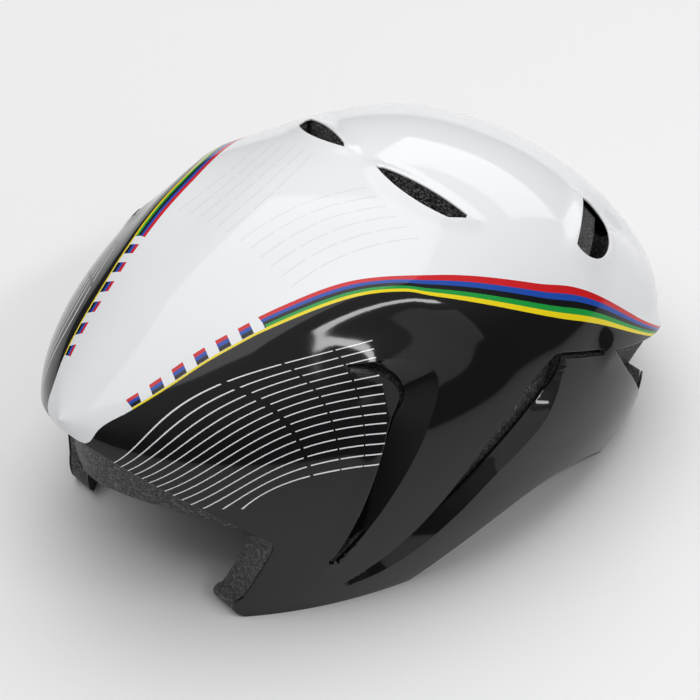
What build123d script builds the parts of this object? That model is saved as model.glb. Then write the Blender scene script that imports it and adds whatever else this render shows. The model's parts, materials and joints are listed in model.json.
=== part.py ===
from build123d import *
import math
import os

# Aero time trial helmet: shell, foam liner, pads, straps and a dial-adjusted rear cradle
os.makedirs("parts", exist_ok=True)

# Overall form, in millimetres. The brow faces -Y, the wearer's left is +X and the rim stands on z = 0.
helmet_width = 204.0
helmet_height = 141.5
widest_y = 4.0
front_length = 150.0
rear_length = 142.0
crown_y = -1.0
brow_tip_height = 90.0
tail_tip_height = 52.0
belt_height = 42.0
brow_belt_rise = 38.0
rim_tuck = 12.0
base_drop = 5.0
plan_front_power = 2.0
plan_front_share = 0.635
plan_rear_power = 2.2
plan_rear_share = 0.38
crown_front_power = 2.1
crown_rear_power = 2.2
crown_tail_power = 8.0
crown_tail_share = 0.25
belt_power = 3.0
section_power = 2.12
front_station_shares = [0.998, 0.985, 0.95, 0.88, 0.76, 0.58, 0.34, 0.12]
rear_station_shares = [0.12, 0.34, 0.55, 0.72, 0.85, 0.93, 0.975, 0.999]
arch_steps = 18
wall_steps = 4
overrun = 20.0

# Shell and foam thicknesses
shell_thickness = 1.0
bond_gap = 0.3
brow_step = 11.0
temple_foam = 10.0
temple_recess_rear_y = -79.5
temple_recess_top = 42.0
crescent_depth = 9.0
channel_depth = 6.0

# Head cavity: an ellipsoid over an elliptical tube
cavity_half_width = 82.0
cavity_half_length = 110.0
cavity_centre_y = -8.0
cavity_spring_height = 25.0
cavity_ceiling = 115.0
cavity_wall_shares = [0.0, 0.4, 0.75]
cavity_dome_angles = [0.0, 10.0, 20.0, 30.0, 40.0, 50.0, 60.0, 70.0, 78.0, 84.0, 87.5]

# Side profile: places are shares of the helmet's length from the brow tip, and of its height
brow_line_shares = [(-0.07, 0.737), (0.166, 0.306)]
foam_brow_shares = [(-0.07, 0.40), (0.0, 0.395), (0.085, 0.358), (0.142, 0.312)]
temple_front_shares = [(0.137, 0.09), (0.128, 0.045), (0.142, 0.0)]
rim_arch_shares = [(0.356, 0.0), (0.514, 0.198), (0.753, 0.0)]
tail_under_shares = [(0.88, 0.0), (0.97, 0.16), (1.07, 0.24)]
notch_radius = 6.0

# Vent outlines on the side, as shares of length and height
crescent_outer_shares = [(0.301, 0.772), (0.373, 0.752), (0.402, 0.693), (0.366, 0.580), (0.301, 0.410),
                         (0.234, 0.210)]
crescent_inner_shares = [(0.228, 0.222), (0.269, 0.431), (0.315, 0.615), (0.344, 0.690), (0.329, 0.735),
                         (0.299, 0.756)]
channel_upper_shares = [(0.600, 0.600), (0.571, 0.590), (0.521, 0.555), (0.438, 0.457), (0.370, 0.339),
                        (0.291, 0.180), (0.248, 0.100)]
channel_lower_shares = [(0.256, 0.092), (0.329, 0.222), (0.402, 0.325), (0.469, 0.410), (0.536, 0.475),
                        (0.578, 0.516), (0.612, 0.582)]
blade_border_shares = [(0.256, 0.088), (0.292, 0.116), (0.338, 0.178), (0.390, 0.262), (0.458, 0.355), (0.540, 0.425),
                       (0.574, 0.476), (0.612, 0.576)]
slit_shares = [(0.606, 0.595), (0.606, 0.575), (0.69, 0.498), (0.69, 0.518)]
port_shares = [(0.705, 0.500), (0.865, 0.350), (1.07, 0.290), (1.07, 0.10), (0.858, 0.055)]
port_inner_x = 56.0
port_wall = 7.0

# Vents through the crown, outlined in plan from a corner point
slot_inner_x = 8.0
slot_front_y = 6.0
slot_length = 41.0
slot_width = 14.5
slot_front_shares = [(0.0, 0.04), (0.5, -0.06), (0.9, 0.38)]
slot_rear_shares = [(1.0, 1.0), (0.56, 0.68), (0.1, 0.2)]
slot_rake = 6.0
moon_x = 53.0
moon_y = 88.0
moon_reach = 32.0
moon_depth = 20.0
moon_heading = -50.0
moon_dive = (-0.42, -0.42, -0.8)
moon_length = 62.0
scoop_x = 50.0
scoop_y = 107.0
scoop_radius = 18.0
scoop_low_z = 60.0
air_channel_width = 11.0
air_channel_depth = 6.0
air_channel_x = 27.0
air_channel_front_share = 0.5
air_channel_rear_share = 0.75

# Nape recess for the dial, and the arch under the tail
nape_half_width = 46.0
nape_top = 56.0
nape_front_y = 56.0
nape_rear_y = 118.0
nape_corner = 12.0
tail_arch_half_width = 38.0
tail_arch_top = 34.0

# Fit system
pivot_y = -64.0
pivot_z = 30.0
running_gap = 0.08
slide_gap = 0.3
band_side_gap = 4.7
band_rear_gap = 3.0
band_thickness = 1.6
band_height = 10.0
stud_radius = 3.0
stud_end_x = 79.5
eye_radius = 6.0
eye_thickness = 3.0
anchor_radius = 6.0
anchor_flange_gap = 1.0
anchor_floor = 0.8
seat_gap = 0.15
band_travel = 6.0
gear_teeth = 12
gear_pitch_radius = 5.0
pressure_angle = 25.0
tooth_backlash = 0.16
addendum_share = 0.9
dedendum_share = 1.2
flank_steps = 4
rack_root_overlap = 0.3
rack_end_land = 1.5
rack_back = 2.0
rack_depth = 3.7
rack_reach = 14.0
rack_teeth = 9
case_half_width = 32.0
case_wall = 1.8
case_floor = 3.7
case_plate_thickness = 2.0
case_front_y = 84.0
case_corner = 4.0
knob_radius = 15.0
knob_depth = 9.0
knob_flutes = 16
flute_radius = 1.6
knob_chamfer = 1.2
knob_face = 2.5
shaft_flat_share = 0.6
shaft_radius = 3.0
front_stub_radius = 1.5
screw_shank_radius = 1.2
screw_head_radius = 2.3
screw_head_height = 1.6
screw_drive_radius = 0.8
screw_x = 24.0
screw_gap = 0.08
boss_radius = 3.4
screw_bite = 3.0

# Cradle behind the head
frame_centre_y = -12.0
frame_inner_radius = 92.0
frame_thickness = 2.0
frame_half_angle = 25.0
frame_low_z = 15.0
frame_high_z = 45.0
frame_window_low = 0.28
frame_window_high = 0.72
frame_window_angles = [-18.0, -6.0, 6.0, 18.0]
frame_window_span = 7.0
frame_corner = 6.0
hanger_foot_height = 7.0
hanger_radius = 147.0
hanger_thickness = 1.2
hanger_width = 12.0
hanger_start_angle = 3.0
hanger_end_angle = 23.5
hanger_recess_width = 17.0
hanger_recess_depth = 4.5
hanger_recess_span = 11.5
guide_angle = 17.5
guide_width = 18.0
guide_height = 8.0
guide_inner_wall = 1.3
guide_outer_reach = 5.6
guide_plug_radius = 4.0
guide_plug_length = 10.0
guide_corner = 1.6

# Pads
pad_gap = 2.0
pad_thickness = 6.5
pad_flat_share = 0.86
pad_side_share = 0.45
pad_shoulder_share = 0.84
pad_crown_inset_share = 0.22
pad_end_shares = [0.45, 0.82, 0.97, 1.0, 1.0, 1.0, 0.97, 0.82, 0.45]
pad_stop_shares = [0.0, 0.05, 0.16, 0.34, 0.5, 0.66, 0.84, 0.95, 1.0]
brow_pad_width = 24.0
brow_pad_height = 62.0
brow_pad_half_angle = 42.0
crown_pad_width = 20.0
side_crown_pad_x = 42.0
crown_pad_angles = (58.0, 118.0)
side_crown_pad_angles = (62.0, 122.0)
side_pad_width = 20.0
side_pad_height = 56.0
side_pad_angles = (-26.0, 22.0)
cradle_pad_width = 19.0
cradle_pad_thickness = 4.6
cradle_pad_half_angle = 8.0
cradle_pad_angle = 13.0
disc_radius = 5.5
disc_thickness = 0.9
disc_gap = 0.75

# Straps
strap_width = 15.0
strap_thickness = 1.2
strap_floor_gap = 0.3
front_anchor_y = -72.0
front_anchor_z = 12.5
rear_anchor_y = 72.0
rear_anchor_z = 15.8
anchor_block_length = 13.0
anchor_block_height = 17.8
anchor_block_depth = 7.0
strap_wall_gap = 1.8
leg_shares = [(0.0, 0.0, 1.0, 90.0), (0.22, 0.22, 0.78, 84.0), (0.44, 0.48, 0.4, 60.0), (0.64, 0.74, 0.14, 32.0),
              (0.8, 0.92, 0.0, 8.0), (0.88, 1.0, 0.0, 0.0), (1.0, 1.0, 0.0, 0.0)]
divider_x = 58.0
divider_y = -22.0
divider_length = 20.0
divider_width = 19.0
divider_height = 5.0
divider_slot_depth = 2.5
divider_fillet = 1.4
divider_slot_share = 0.5
ear_thickness = 2.0
ear_height = 3.4
lever_length = 14.0
lever_thickness = 2.0
lever_pin_radius = 1.2
lever_inset = 2.6
lever_lip = 1.6
buckle_width = 24.0
buckle_height = 7.0
socket_low_x = 4.0
socket_length = 24.0
plug_body_length = 15.0
prong_length = 17.0
prong_width = 4.0
prong_spread = 6.5
buckle_wall = 1.5
buckle_corner = 2.5
window_low_share = 0.5
keeper_length = 6.0
keeper_wall = 1.0
keeper_gap = 2.0
sleeve_gap = 0.3
sleeve_round_share = 0.8
chin_pad_lift = 2.4
chin_shares = [0.0, 0.12, 0.5, 0.88, 1.0]


def span_box(x_low, x_high, y_low, y_high, z_low, z_high):
    """Return a block between two corners."""
    block = Box(x_high - x_low, y_high - y_low, z_high - z_low)
    return Pos((x_low + x_high) / 2, (y_low + y_high) / 2, (z_low + z_high) / 2) * block


def rod_x(radius, x_low, x_high, y, z):
    """Return a round bar along X."""
    return Pos((x_low + x_high) / 2, y, z) * Rot(0, 90, 0) * Cylinder(radius, x_high - x_low)


def rod_y(radius, y_low, y_high, x, z):
    """Return a round bar along Y."""
    return Pos(x, (y_low + y_high) / 2, z) * Rot(90, 0, 0) * Cylinder(radius, y_high - y_low)


def half_width(y, inset):
    """Return the half width of the helmet at a place along its length, drawn in by inset."""
    if y < widest_y:
        share = (widest_y - y) / (front_length - inset)
        swell = (1 - share ** plan_front_power) ** plan_front_share
    else:
        share = (y - widest_y) / (rear_length - inset)
        swell = (1 - share ** plan_rear_power) ** plan_rear_share
    return (helmet_width / 2 - inset) * swell


def crown_height(y, inset):
    """Return the height of the centre line at a place along the length, drawn in by inset."""
    if y < crown_y:
        share = (crown_y - y) / (front_length - widest_y + crown_y - inset)
        drop = (helmet_height - brow_tip_height) * share ** crown_front_power
    else:
        share = (y - crown_y) / (rear_length + widest_y - crown_y - inset)
        bend = (1 - crown_tail_share) * share ** crown_rear_power + crown_tail_share * share ** crown_tail_power
        drop = (helmet_height - tail_tip_height) * bend
    return helmet_height - inset - drop


def belt_line(y, inset):
    """Return the height at which the helmet is widest."""
    share = max(0, (crown_y - y) / (front_length - widest_y + crown_y - inset))
    return belt_height + brow_belt_rise * share ** belt_power


def outline_section(y, inset):
    """Return one closed cross section: a superellipse over side walls that tuck in to the rim."""
    reach = half_width(y, inset)
    belt = belt_line(y, inset)
    rise = crown_height(y, inset) - belt
    tuck = rim_tuck * reach / (helmet_width / 2)
    right_wall = []
    for step in range(wall_steps):
        z = -base_drop + (belt + base_drop) * step / wall_steps
        right_wall.append((reach - tuck * ((belt - z) / belt) ** 2, z))
    arch = []
    for step in range(arch_steps + 1):
        angle = math.pi * step / arch_steps
        across = math.cos(angle)
        x = math.copysign(reach * abs(across) ** (2 / section_power), across)
        arch.append((x, belt + rise * math.sin(angle) ** (2 / section_power)))
    left_wall = [(-x, z) for x, z in reversed(right_wall)]
    points = [Vector(x, y, z) for x, z in right_wall + arch + left_wall]
    return Face(Wire([Edge.make_spline(points), Edge.make_line(points[-1], points[0])]))


def helmet_form(inset):
    """Return the whole outer form as one solid, drawn in by inset."""
    stations = [widest_y - share * (front_length - inset) for share in front_station_shares]
    stations += [widest_y + share * (rear_length - inset) for share in rear_station_shares]
    return loft([outline_section(y, inset) for y in stations])


def side_point(share):
    """Return a point of the side view from shares of the length and the height."""
    length_share, height_share = share
    y = widest_y - front_length + length_share * (front_length + rear_length)
    return Vector(0, y, height_share * helmet_height)


def side_prism(edges, x_low, x_high):
    """Return a prism whose outline is drawn in the side view."""
    face = Face(Wire(edges))
    prism = extrude(face, amount=x_high - x_low, dir=(1, 0, 0))
    return Pos(x_low, 0, 0) * prism


def polyline_edges(points):
    """Return the straight edges that close a row of points."""
    return [Edge.make_line(a, b) for a, b in zip(points, points[1:] + points[:1])]


def both_sides(solid):
    """Return a solid with its mirror image across the middle plane."""
    return solid + mirror(solid, about=Plane.YZ)


def edge_profile(brow_points):
    """Return the block that the side view keeps: above the brow edge, the temple and the rim arch."""
    reach_y = rear_length + widest_y + overrun
    top = helmet_height + overrun
    brow = [side_point(share) for share in brow_points]
    temple = [side_point(share) for share in temple_front_shares]
    arch = [side_point(share) for share in rim_arch_shares]
    tail = [side_point(share) for share in tail_under_shares]
    edges = [Edge.make_line(a, b) for a, b in zip(brow, brow[1:] + temple[:1])]
    edges.append(Edge.make_three_point_arc(*temple))
    edges.append(Edge.make_line(temple[-1], arch[0]))
    edges.append(Edge.make_three_point_arc(*arch))
    edges.append(Edge.make_line(arch[-1], tail[0]))
    edges.append(Edge.make_three_point_arc(*tail))
    corners = [tail[-1], Vector(0, reach_y, tail[-1].Z), Vector(0, reach_y, top), Vector(0, brow[0].Y, top), brow[0]]
    edges += [Edge.make_line(a, b) for a, b in zip(corners, corners[1:])]
    face = Face(Wire(edges))
    face = fillet_corner(face, brow[-1])
    prism = extrude(face, amount=helmet_width + 2 * overrun, dir=(1, 0, 0))
    return Pos(-helmet_width / 2 - overrun, 0, 0) * prism


def fillet_corner(face, point):
    """Round the one corner of a flat face that lies at a point."""
    corner = sorted(face.vertices(), key=lambda vertex: (Vector(vertex) - point).length)[0]
    return face.fillet_2d(notch_radius, [corner])


def curved_prism(first_shares, second_shares, x_low):
    """Return a prism between two smooth curves of the side view, closed by a short line at each end."""
    first = [side_point(share) for share in first_shares]
    second = [side_point(share) for share in second_shares]
    edges = [Edge.make_spline(first), Edge.make_line(first[-1], second[0])]
    edges += [Edge.make_spline(second), Edge.make_line(second[-1], first[0])]
    return side_prism(edges, x_low, helmet_width / 2 + overrun)


# Tools that open the shell and the foam
side_inner_x = cavity_half_width / 2
crescent_tool = both_sides(curved_prism(crescent_outer_shares, crescent_inner_shares, side_inner_x))
channel_tool = both_sides(curved_prism(channel_upper_shares, channel_lower_shares, side_inner_x))
blade_tool = both_sides(curved_prism(channel_upper_shares, blade_border_shares, side_inner_x))
slit_tool = both_sides(side_prism(polyline_edges([side_point(s) for s in slit_shares]), side_inner_x,
                                  helmet_width / 2 + overrun))
port_tool = both_sides(side_prism(polyline_edges([side_point(s) for s in port_shares]), port_inner_x,
                                  helmet_width / 2 + overrun))


def slot_vent():
    """Return the cutter of one crown slot, raked so that it dives rearwards."""
    front = [Vector(slot_inner_x + slot_length * a, slot_front_y + slot_width * b, 0) for a, b in slot_front_shares]
    rear = [Vector(slot_inner_x + slot_length * a, slot_front_y + slot_width * b, 0) for a, b in slot_rear_shares]
    edges = [Edge.make_three_point_arc(*front), Edge.make_line(front[-1], rear[0])]
    edges += [Edge.make_three_point_arc(*rear), Edge.make_line(rear[-1], front[0])]
    rise = helmet_height - cavity_spring_height
    lean = math.tan(math.radians(slot_rake))
    lift = overrun / 2
    dive = Vector(0, lean, -1).normalized()
    prism = extrude(Face(Wire(edges)), amount=rise / -dive.Z, dir=dive)
    return Pos(0, -lean * lift, helmet_height + lift) * prism


def moon_vent():
    """Return the cutter of one half-moon vent: a straight front edge and a round rear edge."""
    heading = math.radians(moon_heading)
    along = Vector(math.cos(heading), math.sin(heading), 0)
    across = Vector(-math.sin(heading), math.cos(heading), 0)
    start = Vector(moon_x, moon_y, 0)
    finish = start + along * moon_reach
    bulge = start + along * (moon_reach / 2) + across * moon_depth
    edges = [Edge.make_line(start, finish), Edge.make_three_point_arc(finish, bulge, start)]
    dive = Vector(*moon_dive).normalized()
    back_up = dive * (overrun / dive.Z)
    prism = extrude(Face(Wire(edges)), amount=moon_length + overrun, dir=dive)
    return Pos(back_up.X, back_up.Y, crown_height(moon_y, 0)) * prism


slot_tool = both_sides(slot_vent())
moon_tool = both_sides(moon_vent())


def rounded_arch(half_span, top, y_low, y_high):
    """Return an arched block along Y with rounded upper corners, open downwards."""
    block = span_box(-half_span, half_span, y_low, y_high, -base_drop - overrun, top)
    upper = [e for e in block.edges().filter_by(Axis.Y) if e.center().Z > 0]
    return fillet(upper, nape_corner)


nape_tool = rounded_arch(nape_half_width, nape_top, nape_front_y, nape_rear_y)
tail_tool = rounded_arch(tail_arch_half_width, tail_arch_top, nape_rear_y - overrun,
                         rear_length + widest_y + overrun)

# Outer shell
outer_form = helmet_form(0)
inner_form = helmet_form(shell_thickness)
outer_shell = (outer_form - inner_form) & edge_profile(brow_line_shares)
for tool in (crescent_tool, channel_tool, slit_tool, port_tool, slot_tool, moon_tool, nape_tool, tail_tool):
    outer_shell = outer_shell - tool


def cavity_solid(growth):
    """Return the head cavity, grown all round by growth: elliptical sections that close in to the ceiling."""
    wide = cavity_half_width + growth
    long = cavity_half_length + growth
    tall = cavity_ceiling - cavity_spring_height + growth
    low_z = -base_drop - overrun
    levels = [(low_z + (cavity_spring_height - low_z) * share, 1) for share in cavity_wall_shares]
    for angle in cavity_dome_angles:
        turn = math.radians(angle)
        levels.append((cavity_spring_height + tall * math.sin(turn), math.cos(turn)))
    return loft([Pos(0, cavity_centre_y, z) * Ellipse(wide * size, long * size) for z, size in levels])


def wall_reach(y, z):
    """Return the cavity's half width at a place on its wall."""
    rise = max(0, z - cavity_spring_height) / (cavity_ceiling - cavity_spring_height)
    along = (y - cavity_centre_y) / cavity_half_length
    return cavity_half_width * math.sqrt(1 - along ** 2 - rise ** 2)


# Foam liner
liner_form = helmet_form(shell_thickness + bond_gap)
brow_form = helmet_form(shell_thickness + bond_gap + brow_step)
crescent_floor = helmet_form(shell_thickness + bond_gap + crescent_depth)
channel_floor = helmet_form(shell_thickness + bond_gap + channel_depth)
shell_profile = edge_profile(brow_line_shares)
foam_profile = edge_profile(foam_brow_shares)
eps_liner = (liner_form & shell_profile) + (brow_form & foam_profile)
eps_liner = eps_liner - cavity_solid(0)
eps_liner = eps_liner - (crescent_tool - crescent_floor)
for tool in (blade_tool, slit_tool):
    eps_liner = eps_liner - (tool - channel_floor)
eps_liner = eps_liner - (port_tool - cavity_solid(port_wall))
for tool in (slot_tool, moon_tool, nape_tool, tail_tool):
    eps_liner = eps_liner - tool
scoop = Pos(scoop_x, scoop_y, (scoop_low_z + helmet_height) / 2) * Cylinder(scoop_radius, helmet_height - scoop_low_z)
eps_liner = eps_liner - (both_sides(scoop) - channel_floor)
temple_recess = helmet_form(shell_thickness + bond_gap + temple_foam)
temple_recess = temple_recess & span_box(-helmet_width, helmet_width, widest_y - front_length, temple_recess_rear_y,
                                         -base_drop - overrun, temple_recess_top)
eps_liner = eps_liner - temple_recess
air_channel = span_box(air_channel_x - air_channel_width / 2, air_channel_x + air_channel_width / 2,
                       cavity_centre_y - cavity_half_length * air_channel_front_share,
                       cavity_centre_y + cavity_half_length * air_channel_rear_share,
                       cavity_spring_height * 2, helmet_height)
eps_liner = eps_liner - (both_sides(air_channel) & cavity_solid(air_channel_depth))


# Fit system: temple bushings, bands with racks, dial and case
band_outer_x = cavity_half_width - band_side_gap
band_outer_y = cavity_half_length - band_rear_gap
band_low_z = pivot_z - band_height / 2
band_high_z = pivot_z + band_height / 2
gear_module = 2 * gear_pitch_radius / gear_teeth
addendum = addendum_share * gear_module
dedendum = dedendum_share * gear_module
rack_low_y = case_front_y + case_plate_thickness + slide_gap
rack_high_y = rack_low_y + rack_depth
case_rear_y = rack_high_y + slide_gap + case_floor
channel_half_height = gear_pitch_radius + dedendum + rack_back + slide_gap
case_half_height = channel_half_height + case_wall
knob_low_y = case_rear_y + slide_gap
knob_high_y = knob_low_y + knob_depth


def band_x(y, half_wide, half_long):
    """Return where an ellipse of the fit band lies across, at a place along the helmet."""
    return half_wide * math.sqrt(1 - ((y - cavity_centre_y) / half_long) ** 2)


def band_y(x, half_wide, half_long):
    """Return where an ellipse of the fit band lies along the helmet, at a place across it."""
    return cavity_centre_y + half_long * math.sqrt(1 - (x / half_wide) ** 2)


def involute(radius, base_radius):
    """Return the roll-off angle of an involute at a radius."""
    roll = math.sqrt(max(0, (radius / base_radius) ** 2 - 1))
    return roll - math.atan(roll)


def gear_outline():
    """Return the outline of the pinion in the X-Z plane, centred on its axis, with a tooth on +Z."""
    base_radius = gear_pitch_radius * math.cos(math.radians(pressure_angle))
    root_radius = gear_pitch_radius - dedendum
    tip_radius = gear_pitch_radius + addendum
    half_tooth = (math.pi * gear_module / 2 - tooth_backlash / 2) / (2 * gear_pitch_radius)
    at_pitch = involute(gear_pitch_radius, base_radius)
    flank = []
    for step in range(flank_steps + 1):
        radius = base_radius + (tip_radius - base_radius) * step / flank_steps
        flank.append((radius, half_tooth + at_pitch - involute(radius, base_radius)))
    flank = [(root_radius, flank[0][1])] + flank
    points = []
    for tooth in range(gear_teeth):
        middle = 2 * math.pi * tooth / gear_teeth
        rising = [(radius, middle - turn) for radius, turn in flank]
        falling = [(radius, middle + turn) for radius, turn in reversed(flank)]
        for radius, angle in rising + falling:
            points.append(Vector(radius * math.sin(angle), 0, radius * math.cos(angle)))
    return polyline_edges(points)


def rack_tooth(x, pitch_z, direction):
    """Return one rack tooth that points along direction, +1 up or -1 down, from its root line."""
    slope = math.tan(math.radians(pressure_angle))
    half_pitch_width = (math.pi * gear_module / 2 - tooth_backlash / 2) / 2
    root_half = half_pitch_width + (dedendum + rack_root_overlap) * slope
    tip_half = half_pitch_width - addendum * slope
    root_z = pitch_z - direction * (dedendum + rack_root_overlap)
    tip_z = pitch_z + direction * addendum
    corners = [Vector(x - root_half, rack_low_y, root_z), Vector(x - tip_half, rack_low_y, tip_z),
               Vector(x + tip_half, rack_low_y, tip_z), Vector(x + root_half, rack_low_y, root_z)]
    return extrude(Face(Wire(polyline_edges(corners))), amount=rack_depth, dir=(0, 1, 0))


def fit_band(upper):
    """Return the left band; its rack runs above the pinion when upper is true, and below it when not."""
    direction = -1 if upper else 1
    pitch_z = pivot_z - direction * gear_pitch_radius
    root_z = pitch_z - direction * dedendum
    back_z = root_z - direction * rack_back
    band_face = Ellipse(band_outer_x, band_outer_y) - Ellipse(band_outer_x - band_thickness,
                                                              band_outer_y - band_thickness)
    ring = Pos(0, cavity_centre_y, band_low_z) * extrude(band_face, amount=band_height)
    joint_x = case_half_width + band_travel + slide_gap
    rear_part = span_box(joint_x + band_thickness, helmet_width, 0, helmet_width, band_low_z, band_high_z)
    front_end_y = pivot_y - eye_radius
    front_part = span_box(band_outer_x / 2, helmet_width, front_end_y, 0, band_low_z, band_high_z)
    band = ring & (rear_part + front_part)
    join_low_y = band_y(joint_x + 2 * band_thickness, band_outer_x, band_outer_y) - band_thickness * 2
    block_low_z = min(band_low_z, back_z)
    block_high_z = max(band_high_z, back_z)
    band = band + span_box(joint_x, joint_x + 2 * band_thickness, join_low_y, rack_high_y, block_low_z, block_high_z)
    band = band + span_box(-rack_reach, joint_x, rack_low_y, rack_high_y, min(root_z, back_z), max(root_z, back_z))
    pitch = math.pi * gear_module
    first_gap = -rack_reach + rack_end_land
    tooth_x = pitch / 2 - pitch * math.floor((pitch / 2 - first_gap) / pitch)
    for step in range(rack_teeth):
        band = band + rack_tooth(tooth_x + step * pitch, pitch_z, direction)
    eye_x = band_x(pivot_y, band_outer_x, band_outer_y)
    band = band + rod_x(eye_radius, eye_x - eye_thickness, eye_x, pivot_y, pivot_z)
    return band + rod_x(stud_radius, eye_x - eye_thickness, stud_end_x, pivot_y, pivot_z)


left_band = fit_band(True)
right_band = mirror(fit_band(False), about=Plane.YZ)

gear_face = Pos(0, rack_low_y, pivot_z) * Face(Wire(gear_outline()))
pinion = extrude(gear_face, amount=rack_depth, dir=(0, 1, 0))
pinion = pinion + rod_y(shaft_radius, rack_high_y, knob_high_y - knob_face, 0, pivot_z)
pinion = pinion + rod_y(front_stub_radius, case_front_y + slide_gap, rack_low_y, 0, pivot_z)
shaft_flat_x = shaft_radius * shaft_flat_share
pinion = pinion - span_box(shaft_flat_x, knob_radius, knob_low_y, knob_high_y, pivot_z - knob_radius,
                           pivot_z + knob_radius)
pinion = pinion - rod_y(screw_shank_radius + screw_gap, knob_low_y, knob_high_y, 0, pivot_z)

dial_case = span_box(-case_half_width, case_half_width, case_front_y + case_plate_thickness, case_rear_y,
                     pivot_z - case_half_height, pivot_z + case_half_height)
dial_case = fillet(dial_case.edges().filter_by(Axis.Y), case_corner)
dial_case = dial_case - span_box(-case_half_width - overrun, case_half_width + overrun,
                                 case_front_y + case_plate_thickness - overrun, rack_high_y + slide_gap,
                                 pivot_z - channel_half_height, pivot_z + channel_half_height)
dial_case = dial_case - rod_y(shaft_radius + running_gap, rack_low_y, knob_high_y, 0, pivot_z)
case_plate = span_box(-case_half_width, case_half_width, case_front_y, case_front_y + case_plate_thickness,
                      pivot_z - case_half_height, pivot_z + case_half_height)
case_plate = fillet(case_plate.edges().filter_by(Axis.Y), case_corner)
case_plate = case_plate - rod_y(front_stub_radius + running_gap, case_front_y - overrun,
                                case_front_y + overrun, 0, pivot_z)

frame_rear_radius = frame_inner_radius + frame_thickness
frame_sector = [frame_half_angle * share for share in (-1, 1)]


def frame_point(radius, angle):
    """Return a plan point of the cradle at a radius and an angle from the rearward direction."""
    turn = math.radians(angle)
    return Vector(radius * math.sin(turn), frame_centre_y + radius * math.cos(turn), 0)


def curved_plate(inner, outer, low_angle, high_angle, low_z, high_z):
    """Return an upright plate that is curved in plan about the cradle's centre."""
    middle = (low_angle + high_angle) / 2
    edges = [Edge.make_three_point_arc(*[frame_point(inner, a) for a in (low_angle, middle, high_angle)]),
             Edge.make_line(frame_point(inner, high_angle), frame_point(outer, high_angle)),
             Edge.make_three_point_arc(*[frame_point(outer, a) for a in (high_angle, middle, low_angle)]),
             Edge.make_line(frame_point(outer, low_angle), frame_point(inner, low_angle))]
    plate = extrude(Face(Wire(edges)), amount=high_z - low_z, dir=(0, 0, 1))
    return Pos(0, 0, low_z) * plate


def hanger_sector(inner, outer, low_angle, high_angle, width):
    """Return a strip that is curved about the temple axis, as wide as width across the helmet."""
    middle = (low_angle + high_angle) / 2

    def place(radius, angle):
        turn = math.radians(angle)
        return Vector(-width / 2, pivot_y + radius * math.cos(turn), pivot_z + radius * math.sin(turn))

    edges = [Edge.make_three_point_arc(*[place(inner, a) for a in (low_angle, middle, high_angle)]),
             Edge.make_line(place(inner, high_angle), place(outer, high_angle)),
             Edge.make_three_point_arc(*[place(outer, a) for a in (high_angle, middle, low_angle)]),
             Edge.make_line(place(outer, low_angle), place(inner, low_angle))]
    return extrude(Face(Wire(edges)), amount=width, dir=(1, 0, 0))


frame_height = frame_high_z - frame_low_z
cradle_frame = curved_plate(frame_inner_radius, frame_rear_radius, *frame_sector, frame_low_z, frame_high_z)
cradle_frame = fillet([e for e in cradle_frame.edges() if e.length < 2 * frame_thickness], frame_corner)
for angle in frame_window_angles:
    half_span = frame_window_span / 2
    cradle_frame = cradle_frame - curved_plate(frame_inner_radius - frame_thickness,
                                               frame_rear_radius + frame_thickness, angle - half_span,
                                               angle + half_span, frame_low_z + frame_height * frame_window_low,
                                               frame_low_z + frame_height * frame_window_high)
for side in (-1, 1):
    boss_low_y = frame_centre_y + math.sqrt(frame_rear_radius ** 2 - screw_x ** 2) - frame_thickness / 2
    cradle_frame = cradle_frame + rod_y(boss_radius, boss_low_y, case_front_y, side * screw_x, pivot_z)
    cradle_frame = cradle_frame - rod_y(screw_shank_radius + screw_gap, boss_low_y, case_front_y,
                                        side * screw_x, pivot_z)
hanger = hanger_sector(hanger_radius - hanger_thickness, hanger_radius, hanger_start_angle, hanger_end_angle,
                       hanger_width)
hanger_foot_y = frame_centre_y + frame_rear_radius
hanger = hanger + span_box(-hanger_width / 2, hanger_width / 2, hanger_foot_y - frame_thickness / 2,
                           pivot_y + hanger_radius, frame_high_z - hanger_foot_height, frame_high_z)
cradle_frame = cradle_frame + hanger

screw_head_y = case_rear_y - screw_head_height
case_screws = []
for side in (-1, 1):
    x = side * screw_x
    dial_case = dial_case - rod_y(screw_head_radius + screw_gap, screw_head_y, case_rear_y, x, pivot_z)
    dial_case = dial_case - rod_y(screw_shank_radius + screw_gap, case_front_y, case_rear_y, x, pivot_z)
    case_plate = case_plate - rod_y(screw_shank_radius + screw_gap, case_front_y, case_rear_y, x, pivot_z)
    screw = rod_y(screw_head_radius, screw_head_y, case_rear_y, x, pivot_z)
    screw = screw + rod_y(screw_shank_radius, case_front_y - screw_bite, screw_head_y, x, pivot_z)
    case_screws.append(screw - rod_y(screw_drive_radius, case_rear_y - screw_head_height / 2, case_rear_y, x,
                                     pivot_z))

dial_knob = rod_y(knob_radius, knob_low_y, knob_high_y, 0, pivot_z)
rim_edges = [e for e in dial_knob.edges().filter_by(GeomType.CIRCLE) if e.center().Y > knob_low_y + knob_depth / 2]
dial_knob = chamfer(rim_edges, knob_chamfer)
for flute in range(knob_flutes):
    turn = 2 * math.pi * flute / knob_flutes
    dial_knob = dial_knob - rod_y(flute_radius, knob_low_y - overrun, knob_high_y + overrun,
                                  knob_radius * math.sin(turn), pivot_z + knob_radius * math.cos(turn))
shaft_bore = rod_y(shaft_radius + screw_gap, knob_low_y, knob_high_y - knob_face, 0, pivot_z)
dial_knob = dial_knob - (shaft_bore - span_box(shaft_flat_x + screw_gap, knob_radius, knob_low_y, knob_high_y,
                                               pivot_z - knob_radius, pivot_z + knob_radius))
dial_knob = dial_knob - rod_y(screw_shank_radius + screw_gap, knob_low_y, knob_high_y, 0, pivot_z)
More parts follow.
